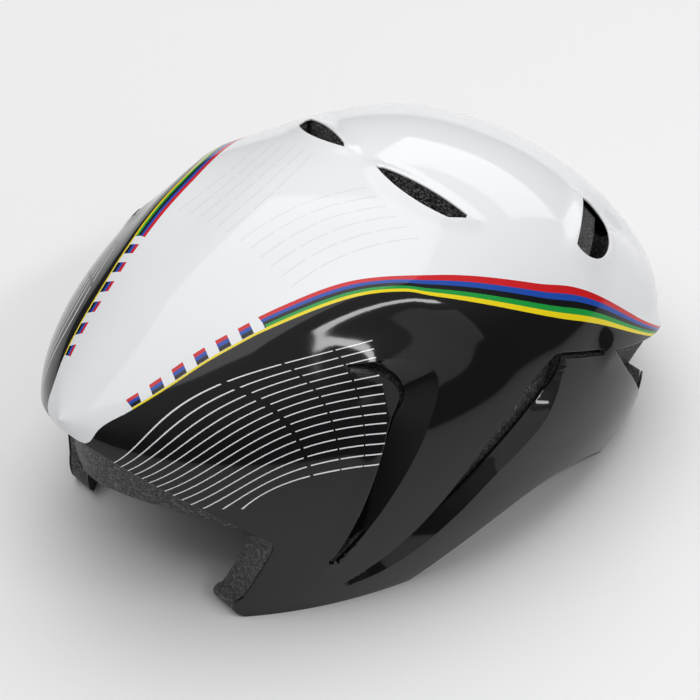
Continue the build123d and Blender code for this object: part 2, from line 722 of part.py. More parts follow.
dial_knob = dial_knob - rod_y(screw_head_radius + screw_gap, knob_high_y - screw_head_height, knob_high_y, 0,
                              pivot_z)
knob_screw = rod_y(screw_head_radius, knob_high_y - screw_head_height, knob_high_y, 0, pivot_z)
knob_screw = knob_screw + rod_y(screw_shank_radius, knob_low_y + screw_gap, knob_high_y - screw_head_height, 0,
                                pivot_z)
knob_screw = knob_screw - rod_y(screw_drive_radius, knob_high_y - screw_head_height / 2, knob_high_y, 0, pivot_z)

# Temple bushings, which carry the studs of the bands
bushing_inner_x = wall_reach(pivot_y, pivot_z)
bushing_outer_x = stud_end_x + slide_gap + anchor_floor
flange_x = bushing_inner_x - anchor_flange_gap
temple_anchor = rod_x(anchor_radius, flange_x, bushing_outer_x, pivot_y, pivot_z)
temple_anchor = temple_anchor - rod_x(stud_radius + running_gap, flange_x, stud_end_x + slide_gap, pivot_y,
                                      pivot_z)
temple_pocket = rod_x(anchor_radius + seat_gap, cavity_half_width / 2, bushing_outer_x + seat_gap, pivot_y, pivot_z)
eps_liner = eps_liner - both_sides(temple_pocket)

# Hanger guide, plugged into the foam over the nape
guide_low = hanger_radius - hanger_thickness - slide_gap - guide_inner_wall
guide_high = hanger_radius + guide_outer_reach


def on_hanger(solid):
    """Place a solid, drawn with X across, Y radial and Z along the strip, on the hanger's arc."""
    return Pos(0, pivot_y, pivot_z) * Rot(guide_angle, 0, 0) * solid


hanger_guide = span_box(-guide_width / 2, guide_width / 2, guide_low, guide_high, -guide_height / 2,
                        guide_height / 2)
hanger_guide = fillet(hanger_guide.edges().filter_by(Axis.Y), guide_corner)
strip_slot = span_box(-hanger_width / 2 - slide_gap, hanger_width / 2 + slide_gap,
                      hanger_radius - hanger_thickness - slide_gap, hanger_radius + slide_gap, -guide_height,
                      guide_height)
guide_plug = rod_y(guide_plug_radius, guide_high, guide_high + guide_plug_length, 0, 0)
hanger_guide = on_hanger(hanger_guide - strip_slot + guide_plug)
guide_pocket = span_box(-guide_width / 2 - seat_gap, guide_width / 2 + seat_gap, guide_low, guide_high + seat_gap,
                        -guide_height / 2 - seat_gap, guide_height / 2 + seat_gap)
guide_hole = rod_y(guide_plug_radius + seat_gap, guide_low, guide_high + guide_plug_length + seat_gap, 0, 0)
eps_liner = eps_liner - on_hanger(guide_pocket + guide_hole)
hanger_recess = hanger_sector(hanger_radius - 2 * overrun, hanger_radius + hanger_recess_depth,
                              guide_angle - hanger_recess_span, guide_angle + hanger_recess_span,
                              hanger_recess_width)
eps_liner = eps_liner - hanger_recess


# Pads
def wall_point(x, y, z):
    """Return a point of the cavity's dome with its outward normal, from a point near it."""
    rise = (z - cavity_spring_height) / (cavity_ceiling - cavity_spring_height) ** 2
    normal = Vector(x / cavity_half_width ** 2, (y - cavity_centre_y) / cavity_half_length ** 2, rise)
    return Vector(x, y, z), normal.normalized()


def level_path(height, low_angle, high_angle):
    """Return a level path round the dome; angles are from the wearer's left, seen from above."""
    dome_height = cavity_ceiling - cavity_spring_height
    level = math.sqrt(1 - ((height - cavity_spring_height) / dome_height) ** 2)
    path = []
    for share in pad_stop_shares:
        turn = math.radians(low_angle + (high_angle - low_angle) * share)
        path.append(wall_point(cavity_half_width * level * math.cos(turn),
                               cavity_centre_y + cavity_half_length * level * math.sin(turn), height))
    return path


def crown_path(x, low_angle, high_angle):
    """Return a fore-and-aft path over the dome at one place across; angles run from the brow to the nape."""
    level = math.sqrt(1 - (x / cavity_half_width) ** 2)
    path = []
    for share in pad_stop_shares:
        turn = math.radians(low_angle + (high_angle - low_angle) * share)
        path.append(wall_point(x, cavity_centre_y - cavity_half_length * level * math.cos(turn),
                               cavity_spring_height + (cavity_ceiling - cavity_spring_height) * level
                               * math.sin(turn)))
    return path


def cushion(path, width, thickness, gap):
    """Return a pad along a path on a wall: flat to the wall, with drawn-in sides and a crown."""
    sections = []
    points = [point for point, normal in path]
    for index, (point, normal) in enumerate(path):
        ahead = points[min(index + 1, len(points) - 1)] - points[max(index - 1, 0)]
        across = normal.cross(ahead).normalized()
        share = pad_end_shares[index]
        half = width / 2 * share
        deep = thickness * share
        base = point - normal * (gap + (thickness - deep) / 2)

        def place(side_share, depth_share):
            return base + across * (half * side_share) - normal * (deep * depth_share)

        shoulder = 1 - pad_crown_inset_share
        left = [place(-pad_flat_share, 0), place(-1, pad_side_share), place(-shoulder, pad_shoulder_share)]
        right = [place(shoulder, pad_shoulder_share), place(1, pad_side_share), place(pad_flat_share, 0)]
        edges = [Edge.make_three_point_arc(*left), Edge.make_three_point_arc(left[-1], place(0, 1), right[0]),
                 Edge.make_three_point_arc(*right), Edge.make_line(right[-1], left[0])]
        sections.append(Face(Wire(edges)))
    return loft(sections)


brow_pad = cushion(level_path(brow_pad_height, -90 - brow_pad_half_angle, -90 + brow_pad_half_angle),
                   brow_pad_width, pad_thickness, pad_gap)
crown_pad = cushion(crown_path(0, *crown_pad_angles), crown_pad_width, pad_thickness, pad_gap)
left_crown_pad = cushion(crown_path(side_crown_pad_x, *side_crown_pad_angles), crown_pad_width, pad_thickness,
                         pad_gap)
left_side_pad = cushion(level_path(side_pad_height, *side_pad_angles), side_pad_width, pad_thickness, pad_gap)


def hook_disc(point, normal):
    """Return one round hook-and-loop disc lying on the wall."""
    face = Plane(origin=point - normal * (disc_gap + disc_thickness), z_dir=normal)
    return face * Cylinder(disc_radius, disc_thickness, align=(Align.CENTER, Align.CENTER, Align.MIN))


disc_stops = [1, -2]
hook_discs = []
for path in (level_path(brow_pad_height, -90 - brow_pad_half_angle, -90 + brow_pad_half_angle),
             crown_path(0, *crown_pad_angles)):
    hook_discs += [hook_disc(*path[disc_stop]) for disc_stop in disc_stops]
for path in (crown_path(side_crown_pad_x, *side_crown_pad_angles), level_path(side_pad_height, *side_pad_angles)):
    for disc_stop in disc_stops:
        disc = hook_disc(*path[disc_stop])
        hook_discs += [disc, mirror(disc, about=Plane.YZ)]


def cradle_path(low_angle, high_angle):
    """Return a level path on the front of the cradle frame."""
    height = (frame_low_z + frame_high_z) / 2
    path = []
    for share in pad_stop_shares:
        angle = low_angle + (high_angle - low_angle) * share
        point = frame_point(frame_inner_radius, angle)
        outward = (point - Vector(0, frame_centre_y, 0)).normalized()
        path.append((point + Vector(0, 0, height), outward))
    return path


left_cradle_pad = cushion(cradle_path(cradle_pad_angle - cradle_pad_half_angle,
                                      cradle_pad_angle + cradle_pad_half_angle),
                          cradle_pad_width, cradle_pad_thickness, slide_gap)


# Straps, their anchors, dividers and buckle
def ribbon(stops):
    """Return webbing through stops, each a centre and the angle of its width from level, in degrees."""
    sections = []
    centres = [Vector(*point) for point, twist in stops]
    twists = [twist for point, twist in stops]
    for index, (centre, twist) in enumerate(zip(centres, twists)):
        ahead = centres[min(index + 1, len(stops) - 1)] - centres[max(index - 1, 0)]
        heading = Vector(ahead.X, ahead.Y, 0).normalized()
        level = Vector(heading.Y, -heading.X, 0)
        turn = math.radians(twist)
        across = level * math.cos(turn) + Vector(0, 0, 1) * math.sin(turn)
        face_out = heading.cross(across)
        half_wide = across * (strap_width / 2)
        half_thick = face_out * (strap_thickness / 2)
        corners = [centre - half_wide - half_thick, centre + half_wide - half_thick,
                   centre + half_wide + half_thick, centre - half_wide + half_thick]
        sections.append(Face(Wire(polyline_edges(corners))))
    return loft(sections, ruled=True)


divider_low_z = strap_floor_gap
divider_high_z = divider_low_z + divider_height
divider_front_y = divider_y - divider_width / 2
divider_rear_y = divider_y + divider_width / 2
slot_z = divider_low_z + divider_height * divider_slot_share
slot_bottom = divider_slot_depth - seat_gap


def wall_station(y, z, toward):
    """Return a place on the cavity's wall: the point, its level direction along the wall and its outward one."""
    x = wall_reach(y, z)
    out = Vector(x / cavity_half_width ** 2, (y - cavity_centre_y) / cavity_half_length ** 2, 0).normalized()
    along = Vector(-out.Y, out.X, 0) * toward
    return Vector(x, y, z), along, out


def strap_leg(y, z, end_y, toward):
    """Return the webbing from a wall anchor to the divider; it turns from upright to flat on the way."""
    wall, along, out = wall_station(y, z, toward)
    start = wall - out * strap_wall_gap
    leave = start + along * (anchor_block_length / 2 + seat_gap)
    final_y = end_y + toward * slot_bottom
    stops = [((start.X, start.Y, start.Z), 90)]
    for share, drift, lift, twist in leg_shares:
        x = leave.X + (divider_x - leave.X) * drift
        height = slot_z + (z - slot_z) * lift
        low = strap_floor_gap + (strap_width * math.sin(math.radians(twist)) + strap_thickness) / 2
        stops.append(((x, leave.Y + (final_y - leave.Y) * share, max(height, low)), twist))
    return ribbon(stops)


def strap_anchor(y, z, toward):
    """Return the moulded block that holds a strap's end in its slot, and the pocket that the block fills."""
    wall, along, out = wall_station(y, z, toward)
    plane = Plane(origin=wall, x_dir=along, z_dir=(0, 0, 1))
    side = math.copysign(1, plane.y_dir.dot(out))
    half_length = anchor_block_length / 2
    half_height = anchor_block_height / 2
    half_slot = strap_thickness / 2 + seat_gap
    inner = -strap_wall_gap - strap_thickness

    def block(x_low, x_high, out_low, out_high, half_z):
        low, high = sorted((side * out_low, side * out_high))
        return plane * span_box(x_low, x_high, low, high, -half_z, half_z)

    body = block(-half_length, half_length, inner, anchor_block_depth, half_height)
    slot = block(-seat_gap, anchor_block_length, -strap_wall_gap - half_slot, -strap_wall_gap + half_slot,
                 strap_width / 2 + seat_gap)
    pocket = block(-half_length - seat_gap, half_length + seat_gap, -anchor_block_length,
                   anchor_block_depth + seat_gap, half_height + seat_gap)
    return body - slot, pocket


left_front_strap = strap_leg(front_anchor_y, front_anchor_z, divider_front_y, 1)
left_rear_strap = strap_leg(rear_anchor_y, rear_anchor_z, divider_rear_y, -1)
left_front_anchor, front_pocket = strap_anchor(front_anchor_y, front_anchor_z, 1)
left_rear_anchor, rear_pocket = strap_anchor(rear_anchor_y, rear_anchor_z, -1)
eps_liner = eps_liner - both_sides(front_pocket) - both_sides(rear_pocket)

divider_inner_x = divider_x - divider_length / 2
divider_outer_x = divider_x + divider_length / 2
left_divider = span_box(divider_inner_x, divider_outer_x, divider_front_y, divider_rear_y, divider_low_z,
                        divider_high_z)
left_divider = fillet(left_divider.edges().filter_by(Axis.Z), divider_fillet)
slot_half_height = strap_thickness / 2 + seat_gap
slot_half_width = strap_width / 2 + seat_gap
for end_y, toward in ((divider_front_y, 1), (divider_rear_y, -1)):
    left_divider = left_divider - span_box(divider_x - slot_half_width, divider_x + slot_half_width,
                                           min(end_y - toward * overrun, end_y + toward * divider_slot_depth),
                                           max(end_y - toward * overrun, end_y + toward * divider_slot_depth),
                                           slot_z - slot_half_height, slot_z + slot_half_height)
left_divider = left_divider - span_box(divider_inner_x - overrun, divider_inner_x + divider_slot_depth,
                                       divider_y - slot_half_width, divider_y + slot_half_width,
                                       slot_z - slot_half_height, slot_z + slot_half_height)
lever_pin_y = divider_front_y + lever_inset
lever_pin_z = divider_high_z + slide_gap + lever_pin_radius
lever_half = lever_length / 2
ear_low_x = divider_x - lever_half - slide_gap - ear_thickness
for ear_x in (ear_low_x, divider_x + lever_half + slide_gap):
    ear = span_box(ear_x, ear_x + ear_thickness, divider_front_y + divider_fillet / 2,
                   lever_pin_y + lever_inset - divider_fillet / 2, divider_high_z, divider_high_z + ear_height)
    left_divider = left_divider + ear
left_divider = left_divider - rod_x(lever_pin_radius + running_gap, ear_low_x - overrun,
                                    divider_outer_x + overrun, lever_pin_y, lever_pin_z)
lever_rear_y = divider_rear_y - lever_inset / 2
lever_low_z = lever_pin_z - lever_thickness / 2
left_lever = span_box(divider_x - lever_half, divider_x + lever_half, lever_pin_y, lever_rear_y, lever_low_z,
                      lever_low_z + lever_thickness)
left_lever = left_lever + rod_x(lever_pin_radius, ear_low_x, divider_x + lever_half + slide_gap + ear_thickness,
                                lever_pin_y, lever_pin_z)
lip_y = lever_rear_y - lever_lip
left_lever = left_lever + span_box(divider_x - lever_half, divider_x + lever_half, lip_y, lever_rear_y,
                                   lever_low_z, lever_low_z + lever_thickness + lever_lip)

# Buckle and chin straps, lying level between the dividers
socket_high_x = socket_low_x + socket_length
buckle_low_y = divider_y - buckle_width / 2
buckle_high_y = divider_y + buckle_width / 2
buckle_low_z = strap_floor_gap
buckle_high_z = buckle_low_z + buckle_height
buckle_socket = span_box(socket_low_x, socket_high_x, buckle_low_y, buckle_high_y, buckle_low_z, buckle_high_z)
buckle_socket = fillet(buckle_socket.edges().filter_by(Axis.Z), buckle_corner)
prong_tip_x = socket_low_x + prong_length
prong_room_y = prong_spread + prong_width / 2 + slide_gap
buckle_socket = buckle_socket - span_box(socket_low_x - overrun, prong_tip_x + slide_gap,
                                         divider_y - prong_room_y, divider_y + prong_room_y,
                                         buckle_low_z + buckle_wall, buckle_high_z - buckle_wall)
window_low_x = socket_low_x + prong_length * window_low_share
window_high_x = prong_tip_x + slide_gap
for side in (-1, 1):
    wall_y = divider_y + side * buckle_width / 2
    inner_y = divider_y + side * (prong_spread - prong_width / 2)
    buckle_socket = buckle_socket - span_box(window_low_x, window_high_x, min(wall_y, inner_y),
                                             max(wall_y, inner_y), buckle_low_z + buckle_wall,
                                             buckle_high_z - buckle_wall)
strap_z = buckle_low_z + buckle_wall + strap_thickness / 2
buckle_socket = buckle_socket - span_box(socket_high_x - divider_slot_depth, socket_high_x + overrun,
                                         divider_y - slot_half_width, divider_y + slot_half_width,
                                         strap_z - slot_half_height, strap_z + slot_half_height)

plug_high_x = socket_low_x - slide_gap
plug_low_x = plug_high_x - plug_body_length
buckle_plug = span_box(plug_low_x, plug_high_x, buckle_low_y, buckle_high_y, buckle_low_z, buckle_high_z)
buckle_plug = fillet(buckle_plug.edges().filter_by(Axis.Z), buckle_corner)
prong_low_z = buckle_low_z + buckle_wall + slide_gap
prong_high_z = buckle_high_z - buckle_wall - slide_gap
for side in (-1, 1):
    prong_y = divider_y + side * prong_spread
    buckle_plug = buckle_plug + span_box(plug_high_x - buckle_wall, prong_tip_x, prong_y - prong_width / 2,
                                         prong_y + prong_width / 2, prong_low_z, prong_high_z)
    barb_y = divider_y + side * (buckle_width / 2 - slide_gap)
    buckle_plug = buckle_plug + span_box(window_low_x + slide_gap, prong_tip_x, min(barb_y, prong_y),
                                         max(barb_y, prong_y), prong_low_z, prong_high_z)
buckle_plug = buckle_plug - span_box(plug_low_x - overrun, plug_low_x + divider_slot_depth,
                                     divider_y - slot_half_width, divider_y + slot_half_width,
                                     strap_z - slot_half_height, strap_z + slot_half_height)


def chin_strap(inner_x, toward):
    """Return the webbing from a divider, on the side that toward names, to the buckle."""
    outer_x = toward * (divider_inner_x + slot_bottom)
    stops = []
    for share in chin_shares:
        x = inner_x + (outer_x - inner_x) * share
        z = strap_z + (slot_z - strap_z) * share
        stops.append(((x, divider_y, z), 0))
    return ribbon(stops)


left_chin_strap = chin_strap(socket_high_x - slot_bottom, 1)
right_chin_strap = chin_strap(plug_low_x + slot_bottom, -1)

# Chin pad and keeper, both sleeves round the webbing
sleeve_half_width = strap_width / 2 + sleeve_gap


def sleeve(low_x, length, wall, lift):
    """Return a flat sleeve round the webbing between the divider and the buckle."""
    middle_z = (strap_z + slot_z) / 2
    half_slot = strap_thickness / 2 + sleeve_gap
    low_z = max(strap_floor_gap / 2, middle_z - half_slot - wall)
    body = span_box(low_x, low_x + length, divider_y - sleeve_half_width - wall,
                    divider_y + sleeve_half_width + wall, low_z, middle_z + half_slot + wall + lift)
    body = fillet(body.edges().filter_by(Axis.X), wall * sleeve_round_share)
    return body - span_box(low_x - overrun, low_x + length + overrun, divider_y - sleeve_half_width,
                           divider_y + sleeve_half_width, middle_z - half_slot, middle_z + half_slot)


keeper_high_x = plug_low_x - keeper_gap
strap_keeper = sleeve(keeper_high_x - keeper_length, keeper_length, keeper_wall, 0)
chin_pad_high_x = keeper_high_x - keeper_length - keeper_gap
chin_pad = sleeve(-divider_inner_x + keeper_gap, chin_pad_high_x + divider_inner_x - keeper_gap, keeper_wall,
                  chin_pad_lift)

# Write one file for each sub-part
nodes = {
    "outer_shell": outer_shell,
    "eps_liner": eps_liner,
    "brow_pad": brow_pad,
    "crown_pad": crown_pad,
    "hook_discs": Compound(children=hook_discs),
    "hanger_guide": hanger_guide,
    "cradle_frame": cradle_frame,
    "dial_case": dial_case,
    "case_plate": case_plate,
    "case_screws": Compound(children=case_screws),
    "pinion": pinion,
    "dial_knob": dial_knob,
    "knob_screw": knob_screw,
    "left_band": left_band,
    "right_band": right_band,
    "left_chin_strap": left_chin_strap,
    "right_chin_strap": right_chin_strap,
    "buckle_socket": buckle_socket,
    "buckle_plug": buckle_plug,
    "strap_keeper": strap_keeper,
    "chin_pad": chin_pad,
}
paired = {
    "crown_pad": left_crown_pad,
    "side_pad": left_side_pad,
    "cradle_pad": left_cradle_pad,
    "temple_anchor": temple_anchor,
    "front_anchor": left_front_anchor,
    "rear_anchor": left_rear_anchor,
    "front_strap": left_front_strap,
    "rear_strap": left_rear_strap,
    "divider": left_divider,
    "divider_lever": left_lever,
}
for name, left_piece in paired.items():
    nodes["left_" + name] = left_piece
    nodes["right_" + name] = mirror(left_piece, about=Plane.YZ)
for name, piece in nodes.items():
    export_step(piece, "parts/" + name + ".step")
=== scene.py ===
"""Blender scene of an aero time trial helmet: painted shell, foam liner, pads, harness and dial fit.

Sizes and places are in millimetres, in the CAD model's frame: the brow faces -Y, the wearer's left is +X
and the rim stands on z = 0. They become metres only when a mesh is made.
"""

from __future__ import annotations

import json
import logging
import math
from dataclasses import dataclass, field
from enum import Enum
from typing import Any

import bmesh
import bpy
import numpy as np
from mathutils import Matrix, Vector

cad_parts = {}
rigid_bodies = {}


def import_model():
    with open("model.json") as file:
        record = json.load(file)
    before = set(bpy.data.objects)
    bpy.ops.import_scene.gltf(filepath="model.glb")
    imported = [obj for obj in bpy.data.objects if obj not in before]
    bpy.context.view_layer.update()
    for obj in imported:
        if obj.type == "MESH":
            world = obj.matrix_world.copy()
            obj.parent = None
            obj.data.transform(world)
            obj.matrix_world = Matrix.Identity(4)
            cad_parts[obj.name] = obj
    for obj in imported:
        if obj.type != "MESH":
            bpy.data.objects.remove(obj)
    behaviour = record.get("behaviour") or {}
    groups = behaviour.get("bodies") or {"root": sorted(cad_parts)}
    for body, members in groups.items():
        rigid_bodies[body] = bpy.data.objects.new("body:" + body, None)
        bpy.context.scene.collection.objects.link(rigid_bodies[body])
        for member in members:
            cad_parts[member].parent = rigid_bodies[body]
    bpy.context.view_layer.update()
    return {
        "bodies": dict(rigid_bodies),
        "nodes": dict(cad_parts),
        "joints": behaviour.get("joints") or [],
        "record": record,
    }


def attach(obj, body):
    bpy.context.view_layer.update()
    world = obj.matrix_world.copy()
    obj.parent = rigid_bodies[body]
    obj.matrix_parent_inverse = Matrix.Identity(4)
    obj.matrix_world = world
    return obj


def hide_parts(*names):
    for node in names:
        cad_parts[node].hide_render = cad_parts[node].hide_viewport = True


LOG = logging.getLogger("helmet")
MM = 0.001
BLOCK = 2000
TINY = 1e-12
Pair = tuple[float, float]
Triple = tuple[float, float, float]
Quad = tuple[float, float, float, float]


class Body(Enum):
    """The CAD bodies that a piece can ride on."""

    HELMET = "helmet"
    CRADLE = "cradle"


# Plane geometry on whole arrays


def blocks(count: int) -> list[slice]:
    """Return slices that cover a long array in short blocks, so that tables over it stay small."""
    return [slice(first, first + BLOCK) for first in range(0, count, BLOCK)]


def smooth_line(points: np.ndarray, steps: int = 14) -> np.ndarray:
    """Return a smooth line through a few points.

    Each stretch is a cubic Hermite curve whose end slopes are half the step between the neighbouring points.

    Args:
        points: The points that the line passes through, as rows.
        steps: Short pieces in each stretch.

    Returns:
        The line as rows of two numbers.
    """
    knots = np.asarray(points, float)
    slopes = np.gradient(knots, axis=0)
    share = np.arange(steps)[:, None, None] / steps
    start, end = knots[:-1], knots[1:]
    line = ((2 * share**3 - 3 * share**2 + 1) * start + (share**3 - 2 * share**2 + share) * slopes[:-1]
            + (3 * share**2 - 2 * share**3) * end + (share**3 - share**2) * slopes[1:])
    return np.vstack([line.transpose(1, 0, 2).reshape(-1, knots.shape[1]), knots[-1:]])


def distance_to_line(points: np.ndarray, line: np.ndarray) -> np.ndarray:
    """Return each point's distance to an open line.

    Each point is dropped onto every stretch of the line, held within it, and the nearest foot counts.

    Args:
        points: Rows of two numbers.
        line: The line's corners, in order.

    Returns:
        One distance for each point.
    """
    start, run = line[:-1], np.diff(line, axis=0)
    reach = np.maximum((run**2).sum(1), TINY)
    nearest = np.full(len(points), np.inf)
    for part in blocks(len(points)):
        block = points[part, None, :] - start
        foot = np.clip((block * run).sum(2) / reach, 0, 1)
        gap = block - foot[:, :, None] * run
        nearest[part] = np.sqrt((gap**2).sum(2).min(1))
    return nearest


def inside_outline(points: np.ndarray, outline: np.ndarray) -> np.ndarray:
    """Return which points lie inside a closed outline, by counting the sides that a level ray crosses.

    Args:
        points: Rows of two numbers.
        outline: The outline's corners, in order, not repeated at the end.

    Returns:
        One truth value for each point.
    """
    low, high = outline, np.roll(outline, -1, axis=0)
    inside = np.zeros(len(points), bool)
    rise = np.where(high[:, 1] == low[:, 1], TINY, high[:, 1] - low[:, 1])
    for part in blocks(len(points)):
        x, y = points[part, :1], points[part, 1:2]
        spans = (low[:, 1] > y) != (high[:, 1] > y)
        crossing = low[:, 0] + (y - low[:, 1]) * (high[:, 0] - low[:, 0]) / rise
        inside[part] = (spans & (crossing > x)).sum(1) % 2 == 1
    return inside


def outside_distance(points: np.ndarray, outline: np.ndarray) -> np.ndarray:
    """Return the distance to a closed outline, counted positive outside it and negative inside it.

    Args:
        points: Rows of two numbers.
        outline: The outline's corners, in order.

    Returns:
        One signed distance for each point.
    """
    distance = distance_to_line(points, np.vstack([outline, outline[:1]]))
    return np.where(inside_outline(points, outline), -distance, distance)


def window(value: np.ndarray, span: Quad) -> np.ndarray:
    """Return a weight that climbs from 0 to 1 and falls back, with smooth corners.

    Args:
        value: Where to weigh.
        span: Where the climb starts and ends, and where the fall starts and ends.

    Returns:
        Weights from 0 to 1.
    """
    up = np.clip((value - span[0]) / (span[1] - span[0]), 0, 1)
    down = np.clip((span[3] - value) / (span[3] - span[2]), 0, 1)
    return up**2 * (3 - 2 * up) * down**2 * (3 - 2 * down)


def swell(distance: np.ndarray, reach: float) -> np.ndarray:
    """Return a bell curve: e to the power of minus the square of the distance over the reach."""
    return np.exp(-(distance / reach) ** 2)


def unit(rows: np.ndarray) -> np.ndarray:
    """Return vectors scaled to length 1. A vector of no length stays as it is."""
    return rows / np.maximum(np.linalg.norm(rows, axis=1, keepdims=True), TINY)


# The helmet's form


@dataclass
class Form:
    """The helmet's outside as cross sections: a superellipse over side walls that tuck in to the rim."""

    width: float = 204.0
    height: float = 141.5
    widest_y: float = 4.0
    front_length: float = 150.0
    rear_length: float = 142.0
    crown_y: float = -1.0
    brow_height: float = 90.0
    tail_height: float = 52.0
    belt_height: float = 42.0
    belt_rise: float = 38.0
    rim_tuck: float = 12.0
    section_power: float = 2.12
    front_powers: Pair = (2.0, 0.635)
    rear_powers: Pair = (2.2, 0.38)
    fore_drop_power: float = 2.1
    aft_drop_powers: Pair = (2.2, 8.0)
    aft_drop_shares: Pair = (0.75, 0.25)
    belt_power: float = 3.0

    @property
    def front_y(self) -> float:
        """The tip of the brow."""
        return self.widest_y - self.front_length

    @property
    def rear_y(self) -> float:
        """The end of the tail."""
        return self.widest_y + self.rear_length

    def side_points(self, shares: tuple[Pair, ...]) -> np.ndarray:
        """Return places in the side view, as rows of y and z, from shares of the length and the height."""
        return np.array(shares) * (self.rear_y - self.front_y, self.height) + (self.front_y, 0.0)

    def half_width(self, y: np.ndarray) -> np.ndarray:
        """Return the half width: 1 less a power of the share of the way to the tip, all to a power."""
        front = np.clip((self.widest_y - y) / self.front_length, 0, 1)
        rear = np.clip((y - self.widest_y) / self.rear_length, 0, 1)
        fore, aft = ((1 - share**inner) ** outer
                     for share, (inner, outer) in ((front, self.front_powers), (rear, self.rear_powers)))
        return self.width / 2 * np.where(y < self.widest_y, fore, aft)

    def crown(self, y: np.ndarray) -> np.ndarray:
        """Return the centre line's height: it drops with powers of the share of the way to either end."""
        front = np.clip((self.crown_y - y) / (self.crown_y - self.front_y), 0, 1)
        rear = np.clip((y - self.crown_y) / (self.rear_y - self.crown_y), 0, 1)
        fore_drop = (self.height - self.brow_height) * front**self.fore_drop_power
        fall = sum(share * rear**power for share, power in zip(self.aft_drop_shares, self.aft_drop_powers))
        aft_drop = (self.height - self.tail_height) * fall
        return self.height - np.where(y < self.crown_y, fore_drop, aft_drop)

    def belt(self, y: np.ndarray) -> np.ndarray:
        """Return the height at which the helmet is widest: it rises with a power of the way to the brow."""
        front = np.clip((self.crown_y - y) / (self.crown_y - self.front_y), 0, 1)
        return self.belt_height + self.belt_rise * front**self.belt_power

    def place(self, y: np.ndarray, climb: np.ndarray) -> np.ndarray:
        """Return points of the outside.

        Below the belt, climb from -1 to 0 goes up the wall, whose tuck grows with the square of the depth
        below the belt. Above it, climb from 0 to 1 is a quarter turn of the superellipse.

        Args:
            y: Places along the helmet.
            climb: Places round the section, from the rim at -1 over the belt at 0 to the crown at 1.

        Returns:
            Rows of x, y and z.
        """
        reach, belt = self.half_width(y), self.belt(y)
        down = np.clip(-climb, 0, 1)
        turn = np.clip(climb, 0, 1) * math.pi / 2
        power = 2 / self.section_power
        across = np.where(climb >= 1, 0, np.abs(np.cos(turn)) ** power)
        tuck = self.rim_tuck * reach / (self.width / 2)
        x = np.where(climb < 0, reach - tuck * down**2, reach * across)
        z = np.where(climb < 0, belt * (1 - down), belt + (self.crown(y) - belt) * np.sin(turn) ** power)
        return np.stack([x, y, z], axis=-1)

    def outward(self, y: np.ndarray, climb: np.ndarray) -> np.ndarray:
        """Return unit normals: the cross product of the two small steps along the surface."""
        step, turn = 0.02, 1e-4
        ahead, behind = np.minimum(y + step, self.rear_y), np.maximum(y - step, self.front_y)
        up, down = np.minimum(climb + turn, 1 - 1e-9), np.maximum(climb - turn, -1)
        along = self.place(ahead, climb) - self.place(behind, climb)
        round_ = self.place(y, up) - self.place(y, down)
        normal = np.cross(along, round_)
        normal[climb >= 1, 0] = 0
        normal[(y <= self.front_y) | (y >= self.rear_y), 0] = 0
        return unit(normal)

    def climb_of(self, y: np.ndarray, x: np.ndarray) -> np.ndarray:
        """Return the climb above the belt of points with that x: the superellipse solved for its angle."""
        ratio = np.clip(x / np.maximum(self.half_width(y), 1e-6), 0, 1)
        return np.arccos(ratio ** (self.section_power / 2)) * 2 / math.pi


@dataclass
class Sheet:
    """Triangles whose corners are places on the form: y and climb, with x on the +X side."""

    corners: np.ndarray
    faces: np.ndarray
    snap: float = 0.03

    @classmethod
    def grid(cls, rows: np.ndarray, columns: np.ndarray) -> Sheet:
        """Return a sheet over every pair of a row's y and a column's climb."""
        y, climb = np.meshgrid(rows, columns, indexing="ij")
        index = np.arange(y.size).reshape(y.shape)
        a, b, c, d = index[:-1, :-1], index[1:, :-1], index[1:, 1:], index[:-1, 1:]
        odd = (np.add.outer(np.arange(len(rows) - 1), np.arange(len(columns) - 1)) % 2).astype(bool)
        first = np.where(odd[..., None], np.stack([a, b, c], -1), np.stack([a, b, d], -1))
        second = np.where(odd[..., None], np.stack([a, c, d], -1), np.stack([b, c, d], -1))
        faces = np.vstack([first.reshape(-1, 3), second.reshape(-1, 3)])
        return cls(np.stack([y.ravel(), climb.ravel()], axis=1), faces)

    def cut(self, value: np.ndarray, keep_below: bool = False) -> Sheet:
        """Return the sheet cut along the line where a value is 0.

        Each crossed triangle has one corner on its own side. The points where its two edges cross 0 split it
        into a tip and two more triangles.

        Args:
            value: One number for each corner.
            keep_below: Whether the triangles where the value is negative stay too.

        Returns:
            The sheet with the triangles that stay.
        """
        value = np.where(np.abs(value) < self.snap, 1e-7, value)
        above = value > 0
        count = above[self.faces].sum(1)
        mixed = self.faces[(count == 1) | (count == 2)]
        lone_above = count[(count == 1) | (count == 2)] == 1
        state = above[mixed]
        odd = np.where(lone_above, state.argmax(1), (~state).argmax(1))
        a, b, c = np.take_along_axis(mixed, (odd[:, None] + np.arange(3)) % 3, axis=1).T
        edges = np.sort(np.vstack([np.stack([a, b], 1), np.stack([a, c], 1)]), axis=1)
        unique, back = np.unique(edges, axis=0, return_inverse=True)
        back = back.reshape(-1)
        share = (value[unique[:, 0]] / (value[unique[:, 0]] - value[unique[:, 1]]))[:, None]
        made = self.corners[unique[:, 0]] * (1 - share) + self.corners[unique[:, 1]] * share
        ab, ac = len(self.corners) + back[:len(a)], len(self.corners) + back[len(a):]
        tips = np.stack([a, ab, ac], 1)
        rests = np.stack([np.stack([ab, b, c], 1), np.stack([ab, c, ac], 1)], 1)
        kept = [self.faces[count == 3], tips[lone_above], rests[~lone_above].reshape(-1, 3)]
        if keep_below:
            kept += [self.faces[count == 0], tips[~lone_above], rests[lone_above].reshape(-1, 3)]
        faces = np.vstack(kept)
        used, faces = np.unique(faces, return_inverse=True)
        return Sheet(np.vstack([self.corners, made])[used], faces.reshape(-1, 3))


# Meshes


